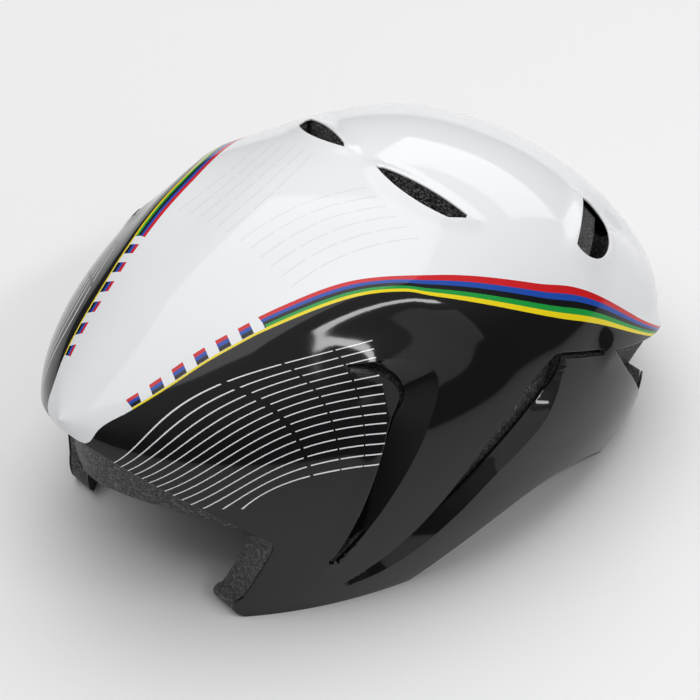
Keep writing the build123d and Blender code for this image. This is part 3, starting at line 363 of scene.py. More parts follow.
def make_piece(name: str, points: np.ndarray, faces: np.ndarray, maps: dict[str, np.ndarray] | None = None,
               smooth_angle: float = 19.0) -> bpy.types.Object:
    """Put arrays into a new mesh object.

    Args:
        name: The piece's name.
        points: Rows of x, y and z in millimetres.
        faces: Rows of corner numbers, three or four to a face.
        maps: UV maps by name, as two numbers for each point.
        smooth_angle: Edges that turn by more degrees than this stay sharp.

    Returns:
        The object, at the origin.
    """
    mesh = bpy.data.meshes.new(name)
    mesh.from_pydata((points * MM).tolist(), [], faces.tolist())
    for title, values in (maps or {}).items():
        layer = mesh.uv_layers.new(name=title)
        corner = np.empty(len(mesh.loops), int)
        mesh.loops.foreach_get("vertex_index", corner)
        layer.data.foreach_set("uv", values[corner].astype(np.float32).ravel())
    mesh.polygons.foreach_set("use_smooth", np.ones(len(mesh.polygons), bool))
    mesh.set_sharp_from_angle(angle=math.radians(smooth_angle))
    mesh.update()
    piece = bpy.data.objects.new(name, mesh)
    bpy.context.scene.collection.objects.link(piece)
    return piece


def finish_piece(piece: bpy.types.Object, material: bpy.types.Material, body: Body,
                 nodes: tuple[str, ...] = ()) -> None:
    """Give a piece its material, its body and the CAD nodes that it stands for.

    Args:
        piece: The new piece.
        material: What it is made of.
        body: The body that it moves with.
        nodes: CAD nodes that it replaces.
    """
    piece.data.materials.clear()
    piece.data.materials.append(material)
    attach(piece, body.value)
    if nodes:
        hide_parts(*nodes)
    LOG.info("%s: %d faces on %s", piece.name, len(piece.data.polygons), body.value)


# Shader maths


class Signal:
    """A shader socket on which Python's operators add Math nodes."""

    def __init__(self, graph: Graph, socket: bpy.types.NodeSocket) -> None:
        """Keep the graph and the socket."""
        self.graph = graph
        self.socket = socket

    def _math(self, operation: str, *values: Signal | float) -> Signal:
        """Return one Math node's result on these values."""
        inputs = {place: value for place, value in enumerate(values)}
        return self.graph.node("ShaderNodeMath", {"operation": operation}, inputs)["Value"]

    def __add__(self, other: Signal | float) -> Signal:
        """Add."""
        return self._math("ADD", self, other)

    def __sub__(self, other: Signal | float) -> Signal:
        """Subtract."""
        return self._math("SUBTRACT", self, other)

    def __rsub__(self, other: float) -> Signal:
        """Subtract from a number."""
        return self._math("SUBTRACT", other, self)

    def __mul__(self, other: Signal | float) -> Signal:
        """Multiply."""
        return self._math("MULTIPLY", self, other)

    def __truediv__(self, other: Signal | float) -> Signal:
        """Divide."""
        return self._math("DIVIDE", self, other)

    def above(self, limit: Signal | float) -> Signal:
        """Return 1 where the value is over a limit, else 0."""
        return self._math("GREATER_THAN", self, limit)

    def below(self, limit: Signal | float) -> Signal:
        """Return 1 where the value is under a limit, else 0."""
        return self._math("LESS_THAN", self, limit)

    def between(self, low: float, high: float) -> Signal:
        """Return 1 where the value lies between two limits, else 0."""
        return self.above(low) * self.below(high)

    def ramp(self, low: float, high: float) -> Signal:
        """Return the value as a share of the way from low to high, held within 0 and 1."""
        return self._math("MINIMUM", self._math("MAXIMUM", (self - low) / (high - low), 0.0), 1.0)

    def off_whole(self) -> Signal:
        """Return the distance to the nearest whole number."""
        return (self - self._math("ROUND", self)).size()

    def size(self) -> Signal:
        """Return the value without its sign."""
        return self._math("ABSOLUTE", self)

    def fraction(self) -> Signal:
        """Return the part after the point."""
        return self._math("FRACT", self)


class Graph:
    """The nodes of one material or one world."""

    def __init__(self, name: str, world: bool = False) -> None:
        """Make an empty material or world of that name."""
        self.owner = (bpy.data.worlds if world else bpy.data.materials).new(name)
        self.owner.use_nodes = True
        self.tree = self.owner.node_tree
        self.tree.nodes.clear()

    def node(self, kind: str, settings: dict[str, Any] | None = None,
             inputs: dict[str | int, Any] | None = None) -> dict[str, Signal]:
        """Add a node.

        Args:
            kind: The node's type.
            settings: Its properties.
            inputs: A number, three numbers or a Signal for each named or numbered socket.

        Returns:
            Its outputs by name.
        """
        made = self.tree.nodes.new(kind)
        for key, value in (settings or {}).items():
            setattr(made, key, value)
        for key, value in (inputs or {}).items():
            socket = made.inputs[key]
            if isinstance(value, Signal):
                self.tree.links.new(value.socket, socket)
            else:
                socket.default_value = (*value, 1.0) if socket.type == "RGBA" else value
        return {out.name: Signal(self, out) for out in made.outputs if out.enabled}

    def position(self, scale: float | Triple = 1.0) -> Signal:
        """Return the place on the piece in millimetres, scaled."""
        sizes = (scale,) * 3 if isinstance(scale, float) else scale
        place = self.node("ShaderNodeTexCoord")["Object"]
        factors = tuple(size / MM for size in sizes)
        return self.node("ShaderNodeVectorMath", {"operation": "MULTIPLY"}, {0: place, 1: factors})["Vector"]

    def split(self, vector: Signal) -> tuple[Signal, Signal, Signal]:
        """Return a vector's three parts."""
        parts = self.node("ShaderNodeSeparateXYZ", {}, {0: vector})
        return parts["X"], parts["Y"], parts["Z"]

    def uv(self, name: str) -> tuple[Signal, Signal]:
        """Return the two numbers of a UV map."""
        across, along, _ = self.split(self.node("ShaderNodeUVMap", {"uv_map": name})["UV"])
        return across, along

    def mix(self, share: Signal, low: Any, high: Any) -> Signal:
        """Return a colour between two, by share. The Mix node's colour sockets are numbers 6 and 7."""
        return self.node("ShaderNodeMix", {"data_type": "RGBA"}, {0: share, 6: low, 7: high})["Result"]

    def noise(self, vector: Signal, scale: float, detail: float = 2.0) -> Signal:
        """Return soft noise over a vector."""
        inputs = {"Vector": vector, "Scale": scale, "Detail": detail}
        return self.node("ShaderNodeTexNoise", {}, inputs)["Fac"]

    def cells(self, vector: Signal, feature: str) -> dict[str, Signal]:
        """Return a cell pattern over a vector."""
        return self.node("ShaderNodeTexVoronoi", {"feature": feature}, {"Vector": vector, "Scale": 1.0})

    def bump(self, height: Signal, strength: float, distance: float) -> Signal:
        """Return a normal that follows a height, with its depth in millimetres."""
        inputs = {"Height": height, "Strength": strength, "Distance": distance * MM}
        return self.node("ShaderNodeBump", {}, inputs)["Normal"]

    def surface(self, **values: Any) -> bpy.types.Material:
        """Close the material with a Principled BSDF.

        Args:
            **values: Its sockets by name, with _ for a space.

        Returns:
            The material.
        """
        inputs = {key.replace("_", " "): value for key, value in values.items()}
        shader = self.node("ShaderNodeBsdfPrincipled", {}, inputs)["BSDF"]
        self.node("ShaderNodeOutputMaterial", {}, {"Surface": shader})
        return self.owner


# Finishes


@dataclass(frozen=True)
class ShellPaint:
    """Glossy white over glossy black, parted by a band of five stripes, with a fan of fine white arcs."""

    white: Triple = (0.83, 0.84, 0.86)
    black: Triple = (0.006, 0.006, 0.007)
    red: Triple = (0.62, 0.012, 0.016)
    blue: Triple = (0.014, 0.075, 0.42)
    green: Triple = (0.012, 0.33, 0.05)
    yellow: Triple = (0.88, 0.70, 0.012)
    arc_grey: Triple = (0.52, 0.53, 0.56)
    roughness: float = 0.07
    shine: float = 0.40
    band_start_y: float = -76.0
    block_pitch: float = 8.6
    block_share: float = 0.52
    block_slant: float = 0.16
    block_first_y: float = -127.0
    stripe_edges: tuple[float, ...] = (0.24, 0.44, 0.64, 0.82)
    layer_edges: Pair = (0.30, 0.56)
    block_span: Pair = (0.04, 0.84)
    keyline_start: float = 0.86
    arc_half_width: float = 0.062
    gap_half_width: float = 0.034
    arc_span: Pair = (-0.3, 13.3)
    arc_reach: Pair = (-1.0, 4.0)
    first_gap: float = 0.5
    band_clearance: float = 1.05
    crest_half_width: float = 0.05
    crest_gap: float = 0.06
    crest_span: Pair = (-0.3, 5.3)
    crest_reach: Pair = (0.0, 4.0)
    crest_limit: float = -0.2
    crest_weight: float = 0.3
    fan_rear_y: float = -44.0
    fan_low_z: float = 63.0

    def material(self) -> bpy.types.Material:
        """Build the paint.

        The band map holds the place across the stripe band, 0 at its upper edge and 1 at its lower, and y in
        metres. The fan map holds the arc's number and the place along it, and the crest map the same for the
        crown's arcs.

        Returns:
            The material.
        """
        graph = Graph("shell_paint")
        across, along = graph.uv("band")
        y = along / MM
        colour = graph.mix(across.above(1.0), self.white, self.black)
        in_band = across.between(0.0, 1.0) * y.above(self.band_start_y)
        stripes = self.red
        for edge, tint in zip(self.stripe_edges, (self.blue, self.black, self.green, self.yellow)):
            stripes = graph.mix(across.above(edge), stripes, tint)
        colour = graph.mix(in_band, colour, stripes)
        slanted = (y - self.block_first_y) / self.block_pitch + across * self.block_slant
        ahead = y.between(self.block_first_y, self.band_start_y)
        block = slanted.fraction().below(self.block_share) * ahead * across.between(*self.block_span)
        layers = graph.mix(across.above(self.layer_edges[0]), self.red, self.blue)
        layers = graph.mix(across.above(self.layer_edges[1]), layers, self.black)
        colour = graph.mix(block, colour, layers)
        colour = graph.mix(across.between(self.keyline_start, 1.0) * ahead, colour, self.yellow)
        arc, place = graph.uv("fan")
        line = arc.off_whole().below(self.arc_half_width) * arc.between(*self.arc_span)
        line = line * place.between(*self.arc_reach)
        _, fan_y, fan_z = graph.split(graph.position())
        unbroken = place.off_whole().above(self.gap_half_width) + place.below(self.first_gap)
        line = line * unbroken.above(0.5) * across.above(self.band_clearance)
        line = line * fan_y.below(self.fan_rear_y) * fan_z.above(self.fan_low_z)
        colour = graph.mix(line, colour, self.white)
        arc, place = graph.uv("crest")
        faint = arc.off_whole().below(self.crest_half_width) * arc.between(*self.crest_span)
        faint = faint * place.between(*self.crest_reach) * place.off_whole().above(self.crest_gap)
        faint = faint * across.below(self.crest_limit)
        colour = graph.mix(faint * self.crest_weight, colour, self.arc_grey)
        return graph.surface(Base_Color=colour, Roughness=self.roughness, Specular_IOR_Level=self.shine)


@dataclass(frozen=True)
class BeadFoam:
    """Matt black foam of fused beads: specks, paler with height near the crown as painted light, and a groove
    round each bead.
    """

    dark: Triple = (0.022, 0.022, 0.024)
    pale: Triple = (0.20, 0.20, 0.21)
    # Painted light: a paler speck colour near the crown, and the heights in millimetres over which it fades
    # in.
    painted_light_pale: Triple = (0.85, 0.84, 0.84)
    painted_light_span: Pair = (106.0, 120.0)
    bead: float = 1.1
    roughness: float = 0.55
    speck_noise: Pair = (1.1, 4.0)
    speck_span: Pair = (0.42, 0.74)
    bead_contrast: float = 0.75
    groove: float = 1.2
    bump: Pair = (0.55, 0.5)

    def material(self) -> bpy.types.Material:
        """Return the material."""
        graph = Graph("bead_foam")
        place = graph.position(1.0 / self.bead)
        cells = graph.cells(place, "F1")
        shade, _, _ = graph.split(cells["Color"])
        speck = graph.noise(place, *self.speck_noise).ramp(*self.speck_span)
        # Painted light: the specks turn paler with height so that the vent walls near the crown look lit.
        _, _, z = graph.split(graph.position())
        pale = graph.mix(z.ramp(*self.painted_light_span), self.pale, self.painted_light_pale)
        share = speck * (shade * self.bead_contrast + (1 - self.bead_contrast))
        colour = graph.mix(share, self.dark, pale)
        normal = graph.bump(1.0 - cells["Distance"] * self.groove, *self.bump)
        return graph.surface(Base_Color=colour, Roughness=self.roughness, Normal=normal)


@dataclass(frozen=True)
class Moulded:
    """Moulded plastic or rubber with a fine grain."""

    name: str
    colour: Triple
    roughness: float
    grain: float = 0.6
    depth: float = 0.04
    detail: float = 3.0
    strength: float = 0.5
    spread: float = 0.12

    def material(self) -> bpy.types.Material:
        """Return the material."""
        graph = Graph(self.name)
        grain = graph.noise(graph.position(1.0 / self.grain), 1.0, self.detail)
        roughness = grain * self.spread + (self.roughness - self.spread / 2)
        normal = graph.bump(grain, self.strength, self.depth)
        return graph.surface(Base_Color=self.colour, Roughness=roughness, Normal=normal)


@dataclass(frozen=True)
class Steel:
    """Turned steel with fine scratches."""

    colour: Triple = (0.42, 0.42, 0.44)
    scratches: Triple = (0.4, 0.4, 6.0)
    detail: float = 3.0
    roughness: float = 0.2

    def material(self) -> bpy.types.Material:
        """Return the material."""
        graph = Graph("screw_steel")
        lines = graph.noise(graph.position(self.scratches), 1.0, self.detail)
        roughness = lines * self.roughness + self.roughness
        return graph.surface(Base_Color=self.colour, Metallic=1.0, Roughness=roughness)


@dataclass(frozen=True)
class BrushedKnit:
    """Soft black knit: small raised loops with a felted bloom."""

    name: str
    dark: Triple
    pale: Triple
    loop: float = 0.55
    bloom_noise: Pair = (0.25, 4.0)
    bloom_span: Pair = (0.3, 0.7)
    bloom_share: float = 0.7
    loop_share: float = 0.2
    roughness: float = 0.92
    sheen: Pair = (0.35, 0.5)
    bump: Pair = (0.6, 0.18)

    def material(self) -> bpy.types.Material:
        """Return the material."""
        graph = Graph(self.name)
        place = graph.position(1.0 / self.loop)
        loops = graph.cells(place, "SMOOTH_F1")["Distance"]
        bloom = graph.noise(place, *self.bloom_noise).ramp(*self.bloom_span)
        colour = graph.mix(bloom * self.bloom_share + (1.0 - loops) * self.loop_share, self.dark, self.pale)
        weight, sheen_roughness = self.sheen
        return graph.surface(Base_Color=colour, Roughness=self.roughness, Sheen_Weight=weight,
                             Sheen_Roughness=sheen_roughness, Normal=graph.bump(1.0 - loops, *self.bump))


@dataclass(frozen=True)
class Webbing:
    """Woven polyester tape: fine diagonal threads in two directions that cross like a plain weave."""

    colour: Triple = (0.014, 0.014, 0.016)
    glint: Triple = (0.075, 0.075, 0.08)
    thread: float = 1.1
    rise: float = 0.6
    roughness: float = 0.75
    bump: Pair = (0.7, 0.2)

    def material(self) -> bpy.types.Material:
        """Return the material."""
        graph = Graph("webbing")
        x, y, z = graph.split(graph.position(1.0 / self.thread))
        warp, weft = (((across + z * self.rise).fraction() - 0.5).size() * 2.0 for across in (x + y, x - y))
        height = warp * weft
        colour = graph.mix(height, self.colour, self.glint)
        normal = graph.bump(height, *self.bump)
        return graph.surface(Base_Color=colour, Roughness=self.roughness, Normal=normal)


# Outer shell


@dataclass(frozen=True)
class Ridge:
    """A swell along the stripe band: its height, its place across the band, its reach, and its span of y."""

    height: float
    line: float
    reach: float
    span: Quad


@dataclass
class Shell:
    """The painted outer shell with its vents, blade facets, lips and shoulders.

    Outlines in the side view are shares of the helmet's length and height, and those of a crown slot are
    shares of its own size. An edge ring is a share of the thickness inwards and of the rounding outwards.
    """

    form: Form = field(default_factory=Form)
    thickness: float = 1.0
    rim_round: float = 0.32
    edge_rings: tuple[Pair, ...] = ((0.15, 0.75), (0.5, 1.0), (0.85, 0.75), (1.0, 0.0))
    spare: float = 20.0
    rim_overcut: float = 0.5
    row_spacing: float = 1.7
    row_evenness: float = 0.55
    column_count: int = 122
    wall_share: float = 0.26
    brow_shares: tuple[Pair, ...] = ((-0.07, 0.737), (0.166, 0.306))
    brow_corner: float = 6.0
    temple_shares: tuple[Pair, ...] = ((0.137, 0.09), (0.128, 0.045), (0.142, 0.0))
    arch_shares: tuple[Pair, ...] = ((0.356, 0.0), (0.514, 0.198), (0.753, 0.0))
    tail_shares: tuple[Pair, ...] = ((0.88, 0.0), (0.97, 0.16), (1.07, 0.24))
    crescent_outer: tuple[Pair, ...] = ((0.301, 0.772), (0.373, 0.752), (0.402, 0.693), (0.366, 0.580),
                                        (0.301, 0.410), (0.234, 0.210))
    crescent_inner: tuple[Pair, ...] = ((0.228, 0.222), (0.269, 0.431), (0.315, 0.615), (0.344, 0.690),
                                        (0.329, 0.735), (0.299, 0.756))
    crescent_depth: float = 7.6
    crescent_bow: float = 1.35
    crescent_slot: float = 3.4
    crescent_slot_shares: Pair = (0.55, 1.45)
    crescent_slot_y: Pair = (-80.0, -40.0)
    flap_lift: float = 0.9
    flap_reach: float = 5.0
    flap_span: Quad = (-85.0, -70.0, -50.0, -44.0)
    channel_upper: tuple[Pair, ...] = ((0.600, 0.600), (0.571, 0.590), (0.521, 0.555), (0.438, 0.457),
                                       (0.370, 0.339), (0.291, 0.180), (0.248, 0.100))
    channel_lower: tuple[Pair, ...] = ((0.256, 0.092), (0.329, 0.222), (0.402, 0.325), (0.469, 0.410),
                                       (0.536, 0.475), (0.578, 0.516), (0.612, 0.582))
    blade_border: tuple[Pair, ...] = ((0.256, 0.088), (0.292, 0.116), (0.338, 0.178), (0.390, 0.262),
                                      (0.458, 0.355), (0.540, 0.425), (0.574, 0.476), (0.612, 0.576))
    blade_depth: float = 4.6
    blade_full_width: float = 3.5
    edge_slack: float = 0.15
    slit: tuple[Pair, ...] = ((0.606, 0.595), (0.606, 0.575), (0.69, 0.498), (0.69, 0.518))
    port: tuple[Pair, ...] = ((0.705, 0.500), (0.865, 0.350), (1.07, 0.290), (1.07, 0.10), (0.858, 0.055))
    port_flange: float = 2.2
    flange_reach: float = 6.0
    slot_origin: Pair = (8.0, 6.0)
    slot_size: Pair = (41.0, 14.5)
    slot_front: tuple[Pair, ...] = ((0.0, 0.04), (0.5, -0.06), (0.9, 0.38))
    slot_rear: tuple[Pair, ...] = ((1.0, 1.0), (0.56, 0.68), (0.1, 0.2))
    slot_rake: float = 6.0
    slot_lip: float = 1.3
    slot_lip_reach: float = 3.5
    moon_start: Pair = (51.0, 92.0)
    moon_reach: float = 33.0
    moon_depth: float = 21.5
    moon_heading: float = -50.0
    moon_dive: Triple = (-0.42, -0.42, -0.8)
    moon_lip: float = 1.6
    moon_lip_reach: float = 5.0
    scoop_centre: Pair = (50.0, 107.0)
    scoop_spread: float = 11.0
    scoop_depth: float = 4.5
    scoop_span: Quad = (56.0, 70.0, 200.0, 210.0)
    nape: tuple[float, ...] = (46.0, 56.0, 118.0, 56.0, 12.0)
    tail_arch: tuple[float, ...] = (38.0, 34.0, 98.0, 12.0)
    ridges: tuple[Ridge, ...] = (Ridge(2.4, 1.1, 1.5, (-120.0, -50.0, -12.0, 30.0)),
                                 Ridge(-0.9, -2.6, 1.7, (-110.0, -60.0, 10.0, 60.0)))
    band_least: float = 0.01
    nose_widths: Pair = (0.041, 0.06)
    band_lower: tuple[Triple, ...] = ((11.9, -143.0, 84.7), (15.3, -138.2, 92.1), (21.2, -128.0, 99.3),
                                      (30.4, -104.6, 109.6), (36.7, -86.0, 115.6),
                                      (41.3, -72.9, 118.9), (51.2, -44.1, 122.9), (59.6, -25.6, 122.5),
                                      (66.2, -15.4, 119.5), (77.7, 8.5, 108.9), (85.6, 33.4, 95.7),
                                      (89.0, 65.1, 76.8), (75.4, 114.3, 41.2))
    band_upper: tuple[Triple, ...] = ((16.1, -130.5, 99.9), (17.7, -126.0, 102.1), (26.1, -101.2, 113.1),
                                      (31.9, -83.6, 118.7),
                                      (37.1, -67.5, 122.8), (46.3, -40.2, 126.5), (59.7, -11.9, 124.6),
                                      (66.1, 3.7, 120.0), (75.9, 31.0, 108.0), (82.4, 62.6, 90.5),
                                      (72.7, 117.7, 50.7))
    fan_numbers: tuple[float, ...] = (0.0, 2.0, 4.0, 6.0, 8.0, 10.0, 12.0, 13.0)
    fan_rows: tuple[tuple[Pair, ...], ...] = (
        ((-137.2, 80.7), (-133.8, 78.9), (-130.4, 76.8), (-127.0, 73.6), (-122.6, 70.8), (-116.8, 68.9),
         (-109.4, 66.6), (-106.5, 64.8)),
        ((-123.7, 95.6), (-118.8, 93.1), (-114.6, 90.2), (-111.0, 86.8),
         (-107.5, 82.9), (-104.0, 78.6), (-100.0, 73.8), (-97.8, 71.2)),
        ((-98.2, 106.6), (-93.4, 103.6), (-89.5, 100.3), (-86.5, 96.2), (-85.1, 91.1), (-84.1, 85.3),
         (-84.1, 78.3), (-84.6, 74.6)),
        ((-78.2, 112.0), (-74.8, 108.1), (-72.9, 103.8), (-72.4, 98.9), (-72.4, 93.4), (-72.9, 86.7),
         (-73.9, 79.6), (-74.3, 75.6)),
        ((-60.2, 114.3), (-58.7, 110.3), (-60.2, 105.0), (-60.2, 99.5), (-61.2, 93.5), (-62.6, 86.7),
         (-64.6, 79.1), (-65.6, 74.9)),
        ((-45.6, 113.4), (-47.0, 109.3), (-49.0, 103.5), (-50.5, 97.8), (-52.4, 91.9), (-54.8, 85.1),
         (-58.3, 78.1), (-60.7, 74.3)),
    )
    fan_along: tuple[float, ...] = (0.0, 0.2, 0.51, 0.71, 0.875, 1.0)
    fan_places: tuple[float, ...] = (0.0, 0.4, 1.0, 2.0, 3.0, 4.0)
    fan_miss: float = 0.5
    fan_guesses: tuple[Pair, Pair] = ((-2.0, 15.0), (-0.4, 1.2))
    fan_guess_counts: tuple[int, int] = (60, 40)
    fan_rounds: int = 5
    fan_lost: float = 6.0
    fan_limits: tuple[Pair, Pair] = ((-3.0, -2.0), (16.0, 6.0))
    crest_start: Pair = (4.0, -60.0)
    crest_spacing: Pair = (6.0, 14.0)
    crest_bend: float = 0.004

    def _region(self, first: tuple[Pair, ...], second: tuple[Pair, ...]) -> tuple[np.ndarray, np.ndarray]:
        """Return two smooth lines of the side view that bound a region between them."""
        return tuple(smooth_line(self.form.side_points(rows)) for rows in (first, second))

    def _arc(self, first: Pair, middle: Pair, last: Pair) -> np.ndarray:
        """Return the circle's arc through three points of a plane, as rows of two numbers."""
        a, b, c = (complex(*point) for point in (first, middle, last))
        w = (c - a) / (b - a)
        centre = (b - a) * (w - abs(w) ** 2) / (2j * w.imag) + a
        swing = np.angle((b - centre) / (a - centre)) + np.angle((c - centre) / (b - centre))
        turn = np.angle(a - centre) + swing * np.linspace(0, 1, 40)
        radius = abs(a - centre)
        return np.stack([centre.real + radius * np.cos(turn), centre.imag + radius * np.sin(turn)], 1)

    def profile(self) -> np.ndarray:
        """Return the side view's outline: brow line, temple, rim arch, tail, and far above the crown."""
        place = self.form.side_points
        brow = place(self.brow_shares)
        temple = self._arc(*place(self.temple_shares))
        corner, before, after = brow[1], brow[0] - brow[1], temple[0] - brow[1]
        before, after = before / np.linalg.norm(before), after / np.linalg.norm(after)
        half = math.acos(float(before @ after)) / 2
        trim = self.brow_corner / math.tan(half)
        share = np.linspace(0, 1, 12)[:, None]
        bend = ((1 - share)**2 * (corner + before * trim) + 2 * share * (1 - share) * corner
                + share**2 * (corner + after * trim))
        arch = self._arc(*place(self.arch_shares))
        tail = self._arc(*place(self.tail_shares))
        top, rear = self.form.height + self.spare, self.form.rear_y + self.spare
        front_rim, rear_rim = (np.stack(ends) - (0.0, self.rim_overcut)
                               for ends in ((temple[-1], arch[0]), (arch[-1], tail[0])))
        closing = np.array([[rear, tail[-1][1]], [rear, top], [brow[0][0], top]])
        return np.vstack([brow[:1], bend, temple, front_rim, arch, rear_rim, tail, closing])

    def _slot_outline(self) -> np.ndarray:
        """Return one crown slot's outline in plan, at the height of the crown."""
        front, rear = (np.array(shares) * self.slot_size + self.slot_origin
                       for shares in (self.slot_front, self.slot_rear))
        return np.vstack([self._arc(*front), self._arc(*rear)])

    def _moon_outline(self) -> np.ndarray:
        """Return one half-moon's outline in plan: a straight front edge and a round rear edge."""
        heading = math.radians(self.moon_heading)
        along = np.array([math.cos(heading), math.sin(heading)])
        across = np.array([-math.sin(heading), math.cos(heading)])
        start = np.array(self.moon_start)
        finish = start + along * self.moon_reach
        bulge = start + along * self.moon_reach / 2 + across * self.moon_depth
        return self._arc(tuple(finish), tuple(bulge), tuple(start))

    def slot_gap(self, points: np.ndarray) -> np.ndarray:
        """Return how far points are outside the raked slot, measured in plan after a slide along the rake."""
        lean = math.tan(math.radians(self.slot_rake))
        drop = self.form.height - points[:, 2]
        plan = np.stack([points[:, 0], points[:, 1] - lean * drop], 1)
        return outside_distance(plan, self._slot_outline())

    def moon_gap(self, points: np.ndarray) -> np.ndarray:
        """Return how far points are outside the half-moon, measured in plan after a slide along its dive."""
        level = self.form.crown(np.array([self.moon_start[1]]))[0]
        dive = np.array(self.moon_dive)
        slide = (level - points[:, 2]) / dive[2]
        plan = points[:, :2] + slide[:, None] * dive[:2]
        return outside_distance(plan, self._moon_outline())

    def band_place(self, points: np.ndarray, climb: np.ndarray) -> np.ndarray:
        """Return the place across the stripe band: 0 at its upper edge, 1 at its lower edge.

        Both edges are climbs that run smoothly with y. The place is the share of the way between them. In
        front of the upper edge's start, the width runs evenly between two given climbs.

        Args:
            points: Points of the outside.
            climb: Their climbs.

        Returns:
            One number for each point.
        """
        edges = []
        for rows in (self.band_upper, self.band_lower):
            path = np.array(rows)
            climbs = self.form.climb_of(path[:, 1], path[:, 0])
            knots = smooth_line(np.stack([path[:, 1], climbs], 1))
            edges.append(np.interp(points[:, 1], knots[:, 0], knots[:, 1]))
        first = self.band_upper[0][1]
        nose_width = np.interp(points[:, 1], (self.form.front_y, first), self.nose_widths)
        width = np.where(points[:, 1] < first, nose_width, np.maximum(edges[0] - edges[1], self.band_least))
        return 1 - (climb - edges[1]) / width

    def relief(self, points: np.ndarray, climb: np.ndarray) -> np.ndarray:
        """Return how far the surface stands out from the plain form.

        The crescent's wall sinks steadily from its outer edge to the slot beside the flap, the blade facet
        from its border to the foam strip. Shoulders, lips, flanges and the hollow behind the half-moon are
        smooth swells beside their lines.

        Args:
            points: Points of the plain form.
            climb: Their climbs.

        Returns:
            One height for each point, outwards.
        """
        side = points[:, 1:]
        height = np.zeros(len(points))
        outer, inner = self._region(self.crescent_outer, self.crescent_inner)
        inside = inside_outline(side, np.vstack([outer, inner]))
        far, near = distance_to_line(side, outer), distance_to_line(side, inner)
        share = far / np.maximum(far + near, 1e-6)
        sink = share * (self.crescent_bow - (self.crescent_bow - 1) * share)
        height -= np.where(inside & (near > self.edge_slack), self.crescent_depth * sink, 0)
        flap = np.where(inside & (near > self.edge_slack), 0, self.flap_lift * swell(near, self.flap_reach))
        height += flap * window(side[:, 0], self.flap_span)
        lower, border = self._region(self.channel_lower, self.blade_border)
        inside = inside_outline(side, np.vstack([lower, border[::-1]]))
        far, near = distance_to_line(side, border), distance_to_line(side, lower)
        narrow = np.clip((far + near) / self.blade_full_width, 0, 1)
        sink = self.blade_depth * narrow * far / np.maximum(far + near, 1e-6)
        height -= np.where(inside | (near < self.edge_slack), sink, 0)
        band = self.band_place(points, climb)
        for ridge in self.ridges:
            height += ridge.height * swell(band - ridge.line, ridge.reach) * window(points[:, 1], ridge.span)
        height += self.slot_lip * swell(np.maximum(self.slot_gap(points), 0), self.slot_lip_reach)
        height += self.moon_lip * swell(np.maximum(self.moon_gap(points), 0), self.moon_lip_reach)
        away = np.hypot(points[:, 0] - self.scoop_centre[0], points[:, 1] - self.scoop_centre[1])
        height -= self.scoop_depth * swell(away, self.scoop_spread) * window(points[:, 2], self.scoop_span)
        top = smooth_line(self.form.side_points(self.port[:2]))
        height += self.port_flange * swell(distance_to_line(side, top), self.flange_reach)
        return height

    def _sheet(self) -> Sheet:
        """Return the half sheet, creased at the facets' borders and cut at every opening."""
        form = self.form
        density = np.linspace(0, math.pi, int((form.rear_y - form.front_y) / self.row_spacing))
        shares = (1 - np.cos(density)) / 2 * (1 - self.row_evenness) + density / math.pi * self.row_evenness
        rows = form.front_y + shares * (form.rear_y - form.front_y)
        wall = np.linspace(-1, 0, int(self.column_count * self.wall_share), endpoint=False)
        columns = np.concatenate([wall, np.linspace(0, 1, int(self.column_count * (1 - self.wall_share)))])
        sheet = Sheet.grid(rows, columns)
        outer, inner = self._region(self.crescent_outer, self.crescent_inner)
        upper, lower = self._region(self.channel_upper, self.channel_lower)
        border = smooth_line(form.side_points(self.blade_border))
        slit, port = form.side_points(self.slit), form.side_points(self.port)

        def side(current: Sheet) -> np.ndarray:
            """Return the corners in the side view."""
            return form.place(*current.corners.T)[:, 1:]

        sheet = sheet.cut(outside_distance(side(sheet), np.vstack([outer, inner])), keep_below=True)
        sheet = sheet.cut(outside_distance(side(sheet), np.vstack([lower, border[::-1]])), keep_below=True)
        places = side(sheet)
        within = outside_distance(places, np.vstack([outer, inner]))
        near = distance_to_line(places, inner)
        width = self.crescent_slot * np.interp(places[:, 0], self.crescent_slot_y, self.crescent_slot_shares)
        sheet = sheet.cut(np.maximum(within, near - width))
        for outline in (np.vstack([upper, lower]), slit, port):
            sheet = sheet.cut(outside_distance(side(sheet), outline))
        sheet = sheet.cut(-outside_distance(side(sheet), self.profile()))
        sheet = sheet.cut(self.slot_gap(form.place(*sheet.corners.T)))
        sheet = sheet.cut(self.moon_gap(form.place(*sheet.corners.T)))
        half, low_y, high_y, top, corner = self.nape
        x, y, z = form.place(*sheet.corners.T).T
        arch = self._block_gap(x, z, half, top, corner)
        sheet = sheet.cut(np.maximum.reduce([arch, low_y - y, y - high_y]))
        half, top, low_y, corner = self.tail_arch
        x, y, z = form.place(*sheet.corners.T).T
        sheet = sheet.cut(np.maximum(self._block_gap(x, z, half, top, corner), low_y - y))
        return sheet

    def _block_gap(self, x: np.ndarray, z: np.ndarray, half: float, top: float, corner: float) -> np.ndarray:
        """Return the distance outside an arched block: beyond its side, its top or its round corner."""
        right, up = x - (half - corner), z - (top - corner)
        beyond = np.hypot(np.maximum(right, 0), np.maximum(up, 0))
        return beyond + np.minimum(np.maximum(right, up), 0) - corner

    def _fan_maps(self, points: np.ndarray) -> np.ndarray:
        """Return the fan's arc number and the place along the arc.

        In the side view the fan is a surface patch, cubic across the arcs and along them, fitted by least
        squares to the crossings of eight arcs with six lines across them. Each point starts from the nearest
        of a coarse grid of the patch, and Newton's method on the patch's two slopes finds its numbers. Where
        it finds none, the place lies past the last.

        Args:
            points: Points of the outside.

        Returns:
            Two numbers for each point.
        """
        def terms(number: np.ndarray, along: np.ndarray) -> np.ndarray:
            """Return the products of the powers 0 to 3 of the two numbers."""
            share = number / self.fan_numbers[-1]
            return np.stack([share**i * along**j for i in range(4) for j in range(4)], axis=-1)

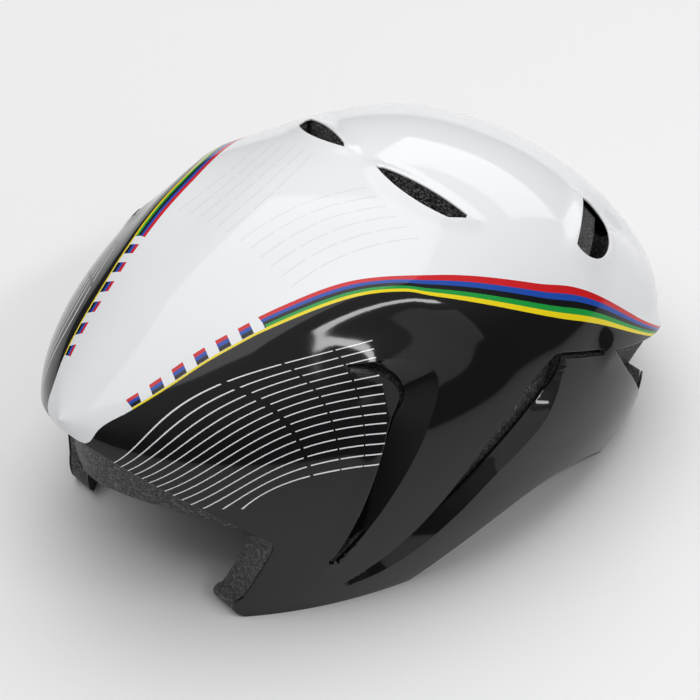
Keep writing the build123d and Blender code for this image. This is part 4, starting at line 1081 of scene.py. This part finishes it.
        rows, columns = len(self.fan_rows), len(self.fan_numbers)
        known = np.array(self.fan_rows).reshape(-1, 2)
        crossings = terms(np.tile(self.fan_numbers, rows), np.repeat(self.fan_along, columns))
        weights = np.linalg.lstsq(crossings, known, rcond=None)[0]
        axes = [np.linspace(*span, count) for span, count in zip(self.fan_guesses, self.fan_guess_counts)]
        grid = np.stack(np.meshgrid(*axes, indexing="ij"), -1).reshape(-1, 2)
        places = terms(*grid.T) @ weights
        side, found = points[:, 1:], np.zeros((len(points), 2))
        for part in blocks(len(points)):
            gap = ((side[part, None] - places) ** 2).sum(2)
            found[part] = grid[gap.argmin(1)]
        step, least_area, longest_move = 1e-4, 1e-3, 0.5
        for _ in range(self.fan_rounds):
            here = terms(*found.T) @ weights
            across = (terms(found[:, 0] + step, found[:, 1]) @ weights - here) / step
            along = (terms(found[:, 0], found[:, 1] + step) @ weights - here) / step
            miss = side - here
            area = across[:, 0] * along[:, 1] - across[:, 1] * along[:, 0]
            area = np.where(np.abs(area) < least_area, least_area, area)
            move = np.stack([(miss[:, 0] * along[:, 1] - miss[:, 1] * along[:, 0]) / area,
                             (across[:, 0] * miss[:, 1] - across[:, 1] * miss[:, 0]) / area], 1)
            found += np.clip(move, -longest_move, longest_move)
        number, along = found.T
        place = np.interp(along, self.fan_along, self.fan_places) + 2 * np.minimum(along, 0)
        place += np.maximum(along - 1, 0) / (1 - self.fan_along[-2])
        lost = np.linalg.norm(side - terms(number, along) @ weights, axis=1) > self.fan_miss
        place = np.where(lost, self.fan_lost, place)
        return np.clip(np.stack([number, place], 1), *self.fan_limits)

    def _crest_maps(self, points: np.ndarray) -> np.ndarray:
        """Return the crown's faint lines: numbers count outwards, bent by the square of the way back."""
        right, back = np.abs(points[:, 0]) - self.crest_start[0], points[:, 1] - self.crest_start[1]
        number = (right - self.crest_bend * back**2) / self.crest_spacing[0]
        return np.stack([number, back / self.crest_spacing[1]], 1)

    def _rim(self, points: np.ndarray, normals: np.ndarray,
             faces: np.ndarray) -> tuple[np.ndarray, np.ndarray]:
        """Return the edges that only one face has, and the way out of the sheet there, for each point."""
        edges = np.vstack([faces[:, [0, 1]], faces[:, [1, 2]], faces[:, [2, 0]]])
        codes = np.sort(edges, axis=1) @ np.array([len(points), 1])
        _, place, uses = np.unique(codes, return_index=True, return_counts=True)
        rim = edges[place[uses == 1]]
        away = unit(np.cross(points[rim[:, 1]] - points[rim[:, 0]], normals[rim[:, 0]]))
        outward = np.zeros_like(points)
        for end in (0, 1):
            np.add.at(outward, rim[:, end], away)
        return rim, unit(outward)

    def build(self, paint: bpy.types.Material) -> bpy.types.Object:
        """Make the shell: both halves of the outside, the inside one thickness in, and rounded edges between.

        Args:
            paint: The shell's paint.

        Returns:
            The piece.
        """
        sheet = self._sheet()
        y, climb = sheet.corners.T
        plain, normal = self.form.place(y, climb), self.form.outward(y, climb)
        points = plain + normal * self.relief(plain, climb)[:, None]
        points[:, 2] = np.maximum(points[:, 2], 0)
        band = np.stack([self.band_place(plain, climb), y * MM], axis=1)
        halves = {"band": band, "fan": self._fan_maps(plain), "crest": self._crest_maps(plain)}
        both, normals = (np.vstack([rows, rows * (-1.0, 1.0, 1.0)]) for rows in (points, normal))
        faces = np.vstack([sheet.faces, sheet.faces[:, ::-1] + len(points)])
        _, first, back = np.unique(np.round(both, 4), axis=0, return_index=True, return_inverse=True)
        faces = back.reshape(-1)[faces]
        faces = faces[(faces != np.roll(faces, 1, axis=1)).all(1)]
        points, normals = both[first], normals[first]
        maps = {name: np.vstack([half, half])[first] for name, half in halves.items()}
        rim, outward = self._rim(points, normals, faces)
        rings = [points]
        for depth, bulge in self.edge_rings:
            rings.append(points - normals * self.thickness * depth + outward * self.rim_round * bulge)
        walls, count = [], len(points)
        for level in range(len(rings) - 1):
            start, end = (rim + level * count).T
            walls.append(np.stack([end, start, start + count], 1))
            walls.append(np.stack([end, start + count, end + count], 1))
        inner = faces[:, ::-1] + (len(rings) - 1) * count
        every = np.vstack([faces, inner] + walls)
        used, every = np.unique(every, return_inverse=True)
        stacked = np.vstack(rings)[used]
        stacked[:, 2] = np.maximum(stacked[:, 2], 0)
        copies = {name: np.vstack([values] * len(rings))[used] for name, values in maps.items()}
        shell = make_piece("painted_shell", stacked, every.reshape(-1, 3), copies)
        finish_piece(shell, paint, Body.HELMET, ("outer_shell",))
        return shell


# Padding


@dataclass
class Padding:
    """The brushed knit pads, each blown up from its CAD solid as cloth over foam."""

    voxel: float = 1.8
    shrink: float = 0.45
    swell_cap: float = 0.9
    pressure: float = 4.0
    frames: int = 20
    quality: int = 5
    stiffness: float = 8.0
    weld: float = 0.01
    first_voxel: float = 0.9
    fill: float = 0.7
    helmet_pads: tuple[str, ...] = ("brow_pad", "crown_pad", "left_crown_pad", "right_crown_pad",
                                    "left_side_pad", "right_side_pad", "chin_pad")
    cradle_pads: tuple[str, ...] = ("left_cradle_pad", "right_cradle_pad")

    def _copy(self, name: str, node: bpy.types.Object) -> bpy.types.Object:
        """Return a copy of a CAD solid, welded, drawn in along its normals and remeshed evenly."""
        piece = bpy.data.objects.new(f"{name}_knit", node.data.copy())
        bpy.context.scene.collection.objects.link(piece)
        mesh = bmesh.new()
        mesh.from_mesh(piece.data)
        mesh.transform(node.matrix_world)
        bmesh.ops.remove_doubles(mesh, verts=mesh.verts[:], dist=self.weld * MM)
        mesh.normal_update()
        mesh.to_mesh(piece.data)
        mesh.free()
        self._apply(piece, "REMESH", {"mode": "VOXEL", "voxel_size": self.first_voxel * MM})
        self._move(piece, -self.shrink)
        self._apply(piece, "REMESH", {"mode": "VOXEL", "voxel_size": self.voxel * MM})
        return piece

    def _points(self, piece: bpy.types.Object, normals: bool = False) -> np.ndarray:
        """Return a piece's points, or its normals, as rows."""
        values = np.empty(len(piece.data.vertices) * 3)
        piece.data.vertices.foreach_get("normal" if normals else "co", values)
        return values.reshape(-1, 3)

    def _move(self, piece: bpy.types.Object, distance: float) -> None:
        """Move every point along its normal."""
        moved = self._points(piece) + self._points(piece, True) * distance * MM
        piece.data.vertices.foreach_set("co", moved.ravel())
        piece.data.update()

    def _apply(self, piece: bpy.types.Object, kind: str, settings: dict[str, Any]) -> None:
        """Add one modifier and bake its result into the mesh."""
        modifier = piece.modifiers.new(kind.lower(), kind)
        for key, value in settings.items():
            setattr(modifier, key, value)
        self._bake(piece)

    def _bake(self, piece: bpy.types.Object) -> None:
        """Replace the mesh by the modifiers' result and drop them."""
        graph = bpy.context.evaluated_depsgraph_get()
        made = bpy.data.meshes.new_from_object(piece.evaluated_get(graph))
        piece.modifiers.clear()
        piece.data = made

    def _inflate(self, piece: bpy.types.Object) -> None:
        """Blow the pad up as cloth, and hold each point within the cap of where it started."""
        start = self._points(piece)
        cloth = piece.modifiers.new("cloth", "CLOTH")
        cloth.settings.use_pressure = True
        cloth.settings.uniform_pressure_force = self.pressure
        cloth.settings.effector_weights.gravity = 0.0
        cloth.settings.quality = self.quality
        cloth.settings.tension_stiffness = self.stiffness
        cloth.point_cache.frame_start = 1
        cloth.point_cache.frame_end = self.frames
        for frame in range(1, self.frames + 1):
            bpy.context.scene.frame_set(frame)
        self._bake(piece)
        bpy.context.scene.frame_set(1)
        step = self._points(piece) - start
        size = np.linalg.norm(step, axis=1, keepdims=True)
        step *= np.minimum(1.0, self.swell_cap * MM / np.maximum(size, 1e-9))
        piece.data.vertices.foreach_set("co", (start + step).ravel())
        piece.data.update()

    def build(self, nodes: dict[str, bpy.types.Object], knit: bpy.types.Material) -> None:
        """Make every pad.

        Args:
            nodes: The CAD nodes by name.
            knit: The pads' fabric.
        """
        for body, names in ((Body.HELMET, self.helmet_pads), (Body.CRADLE, self.cradle_pads)):
            for name in names:
                piece = self._copy(name, nodes[name])
                self._inflate(piece)
                self._apply(piece, "SUBSURF", {"levels": 1, "render_levels": 1})
                piece.data.polygons.foreach_set("use_smooth", np.ones(len(piece.data.polygons), bool))
                finish_piece(piece, knit, body, (name,))


# Studio


@dataclass(frozen=True)
class Softbox:
    """A soft lamp: its name, its place and aim in metres, its width and height in metres, and its watts."""

    name: str
    place: Triple
    aim: Triple
    size: Pair
    power: float


@dataclass
class Studio:
    """A pale floor and backdrop, a soft light all round, and the camera at the photograph's angle."""

    target: Triple = (0.0, -6.0, 70.0)
    azimuth: float = 48.35
    elevation: float = 37.5
    distance: float = 900.0
    lens: float = 111.1
    shift: Pair = (0.0191, -0.0544)
    sensor_width: float = 36.0
    clip: Pair = (0.01, 20.0)
    floor_size: float = 4.0
    floor_colour: Triple = (0.88, 0.88, 0.885)
    backdrop: Triple = (0.885, 0.875, 0.875)
    fade_span: Pair = (150.0, 900.0)
    floor_roughness: float = 0.55
    sky: tuple[Pair, Pair] = ((0.15, 0.95), (0.10, 0.60))
    ground: tuple[Pair, Pair] = ((-0.1, -0.7), (0.0, 0.5))
    softboxes: tuple[Softbox, ...] = (
        Softbox("top_softbox", (-0.25, -0.1, 1.7), (0.0, 0.0, 0.05), (2.4, 1.8), 20.0),
        Softbox("side_softbox", (1.9, 0.3, 1.0), (0.0, 0.0, 0.05), (1.2, 0.8), 1.6),
        Softbox("ridge_strip", (1.27, 0.15, 1.43), (0.06, -0.03, 0.12), (1.1, 0.14), 6.5),
        Softbox("rear_softbox", (-0.6, 1.8, 1.1), (0.0, 0.0, 0.05), (1.6, 0.7), 6.0),
    )

    def _floor(self) -> None:
        """Lay the floor, which the camera sees fade into the backdrop far out and not at all from below."""
        mesh = bpy.data.meshes.new("floor")
        half = self.floor_size / 2
        corners = [(-half, -half, 0), (half, -half, 0), (half, half, 0), (-half, half, 0)]
        mesh.from_pydata(corners, [], [(0, 1, 2, 3)])
        floor = bpy.data.objects.new("floor", mesh)
        bpy.context.scene.collection.objects.link(floor)
        graph = Graph("studio_floor")
        facing = graph.node("ShaderNodeNewGeometry")["Backfacing"]
        clear = graph.node("ShaderNodeBsdfTransparent")["BSDF"]
        finish = {"Base Color": self.floor_colour, "Roughness": self.floor_roughness}
        matt = graph.node("ShaderNodeBsdfPrincipled", {}, finish)["BSDF"]
        reach = graph.node("ShaderNodeVectorMath", {"operation": "LENGTH"}, {0: graph.position()})["Value"]
        fade = reach.ramp(*self.fade_span) * graph.node("ShaderNodeLightPath")["Is Camera Ray"]
        glow = graph.node("ShaderNodeEmission", {}, {"Color": self.backdrop, "Strength": 1.0})["Emission"]
        top = graph.node("ShaderNodeMixShader", {}, {0: fade, 1: matt, 2: glow})["Shader"]
        shown = graph.node("ShaderNodeMixShader", {}, {0: facing, 1: top, 2: clear})["Shader"]
        graph.node("ShaderNodeOutputMaterial", {}, {"Surface": shown})
        mesh.materials.append(graph.owner)

    def _world(self) -> None:
        """Light the room from overhead, and faintly from the sides and below, before a pale backdrop.

        The sky and the ground are each a span of the direction's z, and the strengths at its two ends.
        """
        graph = Graph("studio", world=True)
        bpy.context.scene.world = graph.owner
        _, _, up = graph.split(graph.node("ShaderNodeTexCoord")["Generated"])
        shares = []
        for kind, (span, strength) in (("SMOOTHSTEP", self.sky), ("LINEAR", self.ground)):
            limits = dict(zip(("From Min", "From Max", "To Min", "To Max"), (*span, *strength)))
            ramp = graph.node("ShaderNodeMapRange", {"interpolation_type": kind}, {"Value": up, **limits})
            shares.append(ramp["Result"])
        light = graph.node("ShaderNodeBackground", {}, {"Strength": shares[0] + shares[1]})["Background"]
        seen = graph.node("ShaderNodeBackground", {}, {"Color": self.backdrop, "Strength": 1.0})["Background"]
        camera = graph.node("ShaderNodeLightPath")["Is Camera Ray"]
        shown = graph.node("ShaderNodeMixShader", {}, {0: camera, 1: light, 2: seen})["Shader"]
        graph.node("ShaderNodeOutputWorld", {}, {"Surface": shown})

    def _hang(self, box: Softbox) -> None:
        """Hang one soft lamp."""
        lamp = bpy.data.lights.new(box.name, "AREA")
        lamp.shape = "RECTANGLE"
        lamp.size, lamp.size_y = box.size
        lamp.energy = box.power
        holder = bpy.data.objects.new(box.name, lamp)
        holder.location = box.place
        holder.rotation_mode = "QUATERNION"
        holder.rotation_quaternion = (Vector(box.aim) - Vector(box.place)).to_track_quat("-Z", "Y")
        bpy.context.scene.collection.objects.link(holder)

    def _camera(self) -> None:
        """Set the camera on its arc round the target."""
        turn, tilt = math.radians(self.azimuth), math.radians(self.elevation)
        back = Vector((math.sin(turn) * math.cos(tilt), -math.cos(turn) * math.cos(tilt), math.sin(tilt)))
        camera_data = bpy.data.cameras.new("camera")
        camera_data.lens = self.lens
        camera_data.sensor_width = self.sensor_width
        camera_data.shift_x, camera_data.shift_y = self.shift
        camera = bpy.data.objects.new("camera", camera_data)
        camera.location = (Vector(self.target) + back * self.distance) * MM
        camera.rotation_mode = "QUATERNION"
        camera.rotation_quaternion = (-back).to_track_quat("-Z", "Y")
        camera_data.clip_start, camera_data.clip_end = self.clip
        bpy.context.scene.collection.objects.link(camera)
        bpy.context.scene.camera = camera

    def build(self) -> None:
        """Set up the whole studio."""
        bpy.context.scene.view_settings.view_transform = "Standard"
        self._floor()
        self._world()
        for box in self.softboxes:
            self._hang(box)
        self._camera()
        LOG.info("studio ready")


def dress_nodes(frame: dict[str, Any]) -> dict[str, bpy.types.Material]:
    """Give every CAD node its finish, by its material slot.


    Returns:
        The finishes by material slot.
    """
    finishes = {
        "foam": BeadFoam().material(),
        "moulded_nylon": Moulded("moulded_nylon", (0.03, 0.03, 0.032), 0.42).material(),
        "dial_grip": Moulded("dial_grip", (0.02, 0.02, 0.021), 0.68, 0.8, 0.08).material(),
        "screw_steel": Steel().material(),
        "pad_fabric": BrushedKnit("knit", (0.025, 0.025, 0.027), (0.10, 0.10, 0.107)).material(),
        "hook_fabric": BrushedKnit("hook_fabric", (0.008, 0.008, 0.009), (0.03, 0.03, 0.03), 0.8).material(),
        "webbing": Webbing().material(),
        "gloss_shell": Moulded("shell_plain", (0.01, 0.01, 0.01), 0.2).material(),
    }
    for row in frame["record"]["subparts"]:
        node = frame["nodes"][row["node"]]
        if not node.material_slots:
            node.data.materials.append(finishes[row["material_slot"]])
        for slot in node.material_slots:
            slot.material = finishes[row["material_slot"]]
    LOG.info("CAD nodes dressed")
    return finishes


def main() -> None:
    """Build the helmet piece by piece, then the studio."""
    logging.basicConfig(level=logging.INFO, format="%(message)s")
    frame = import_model()
    finishes = dress_nodes(frame)
    Shell().build(ShellPaint().material())
    Padding().build(frame["nodes"], finishes["pad_fabric"])
    Studio().build()


if __name__ == "__main__":
    main()
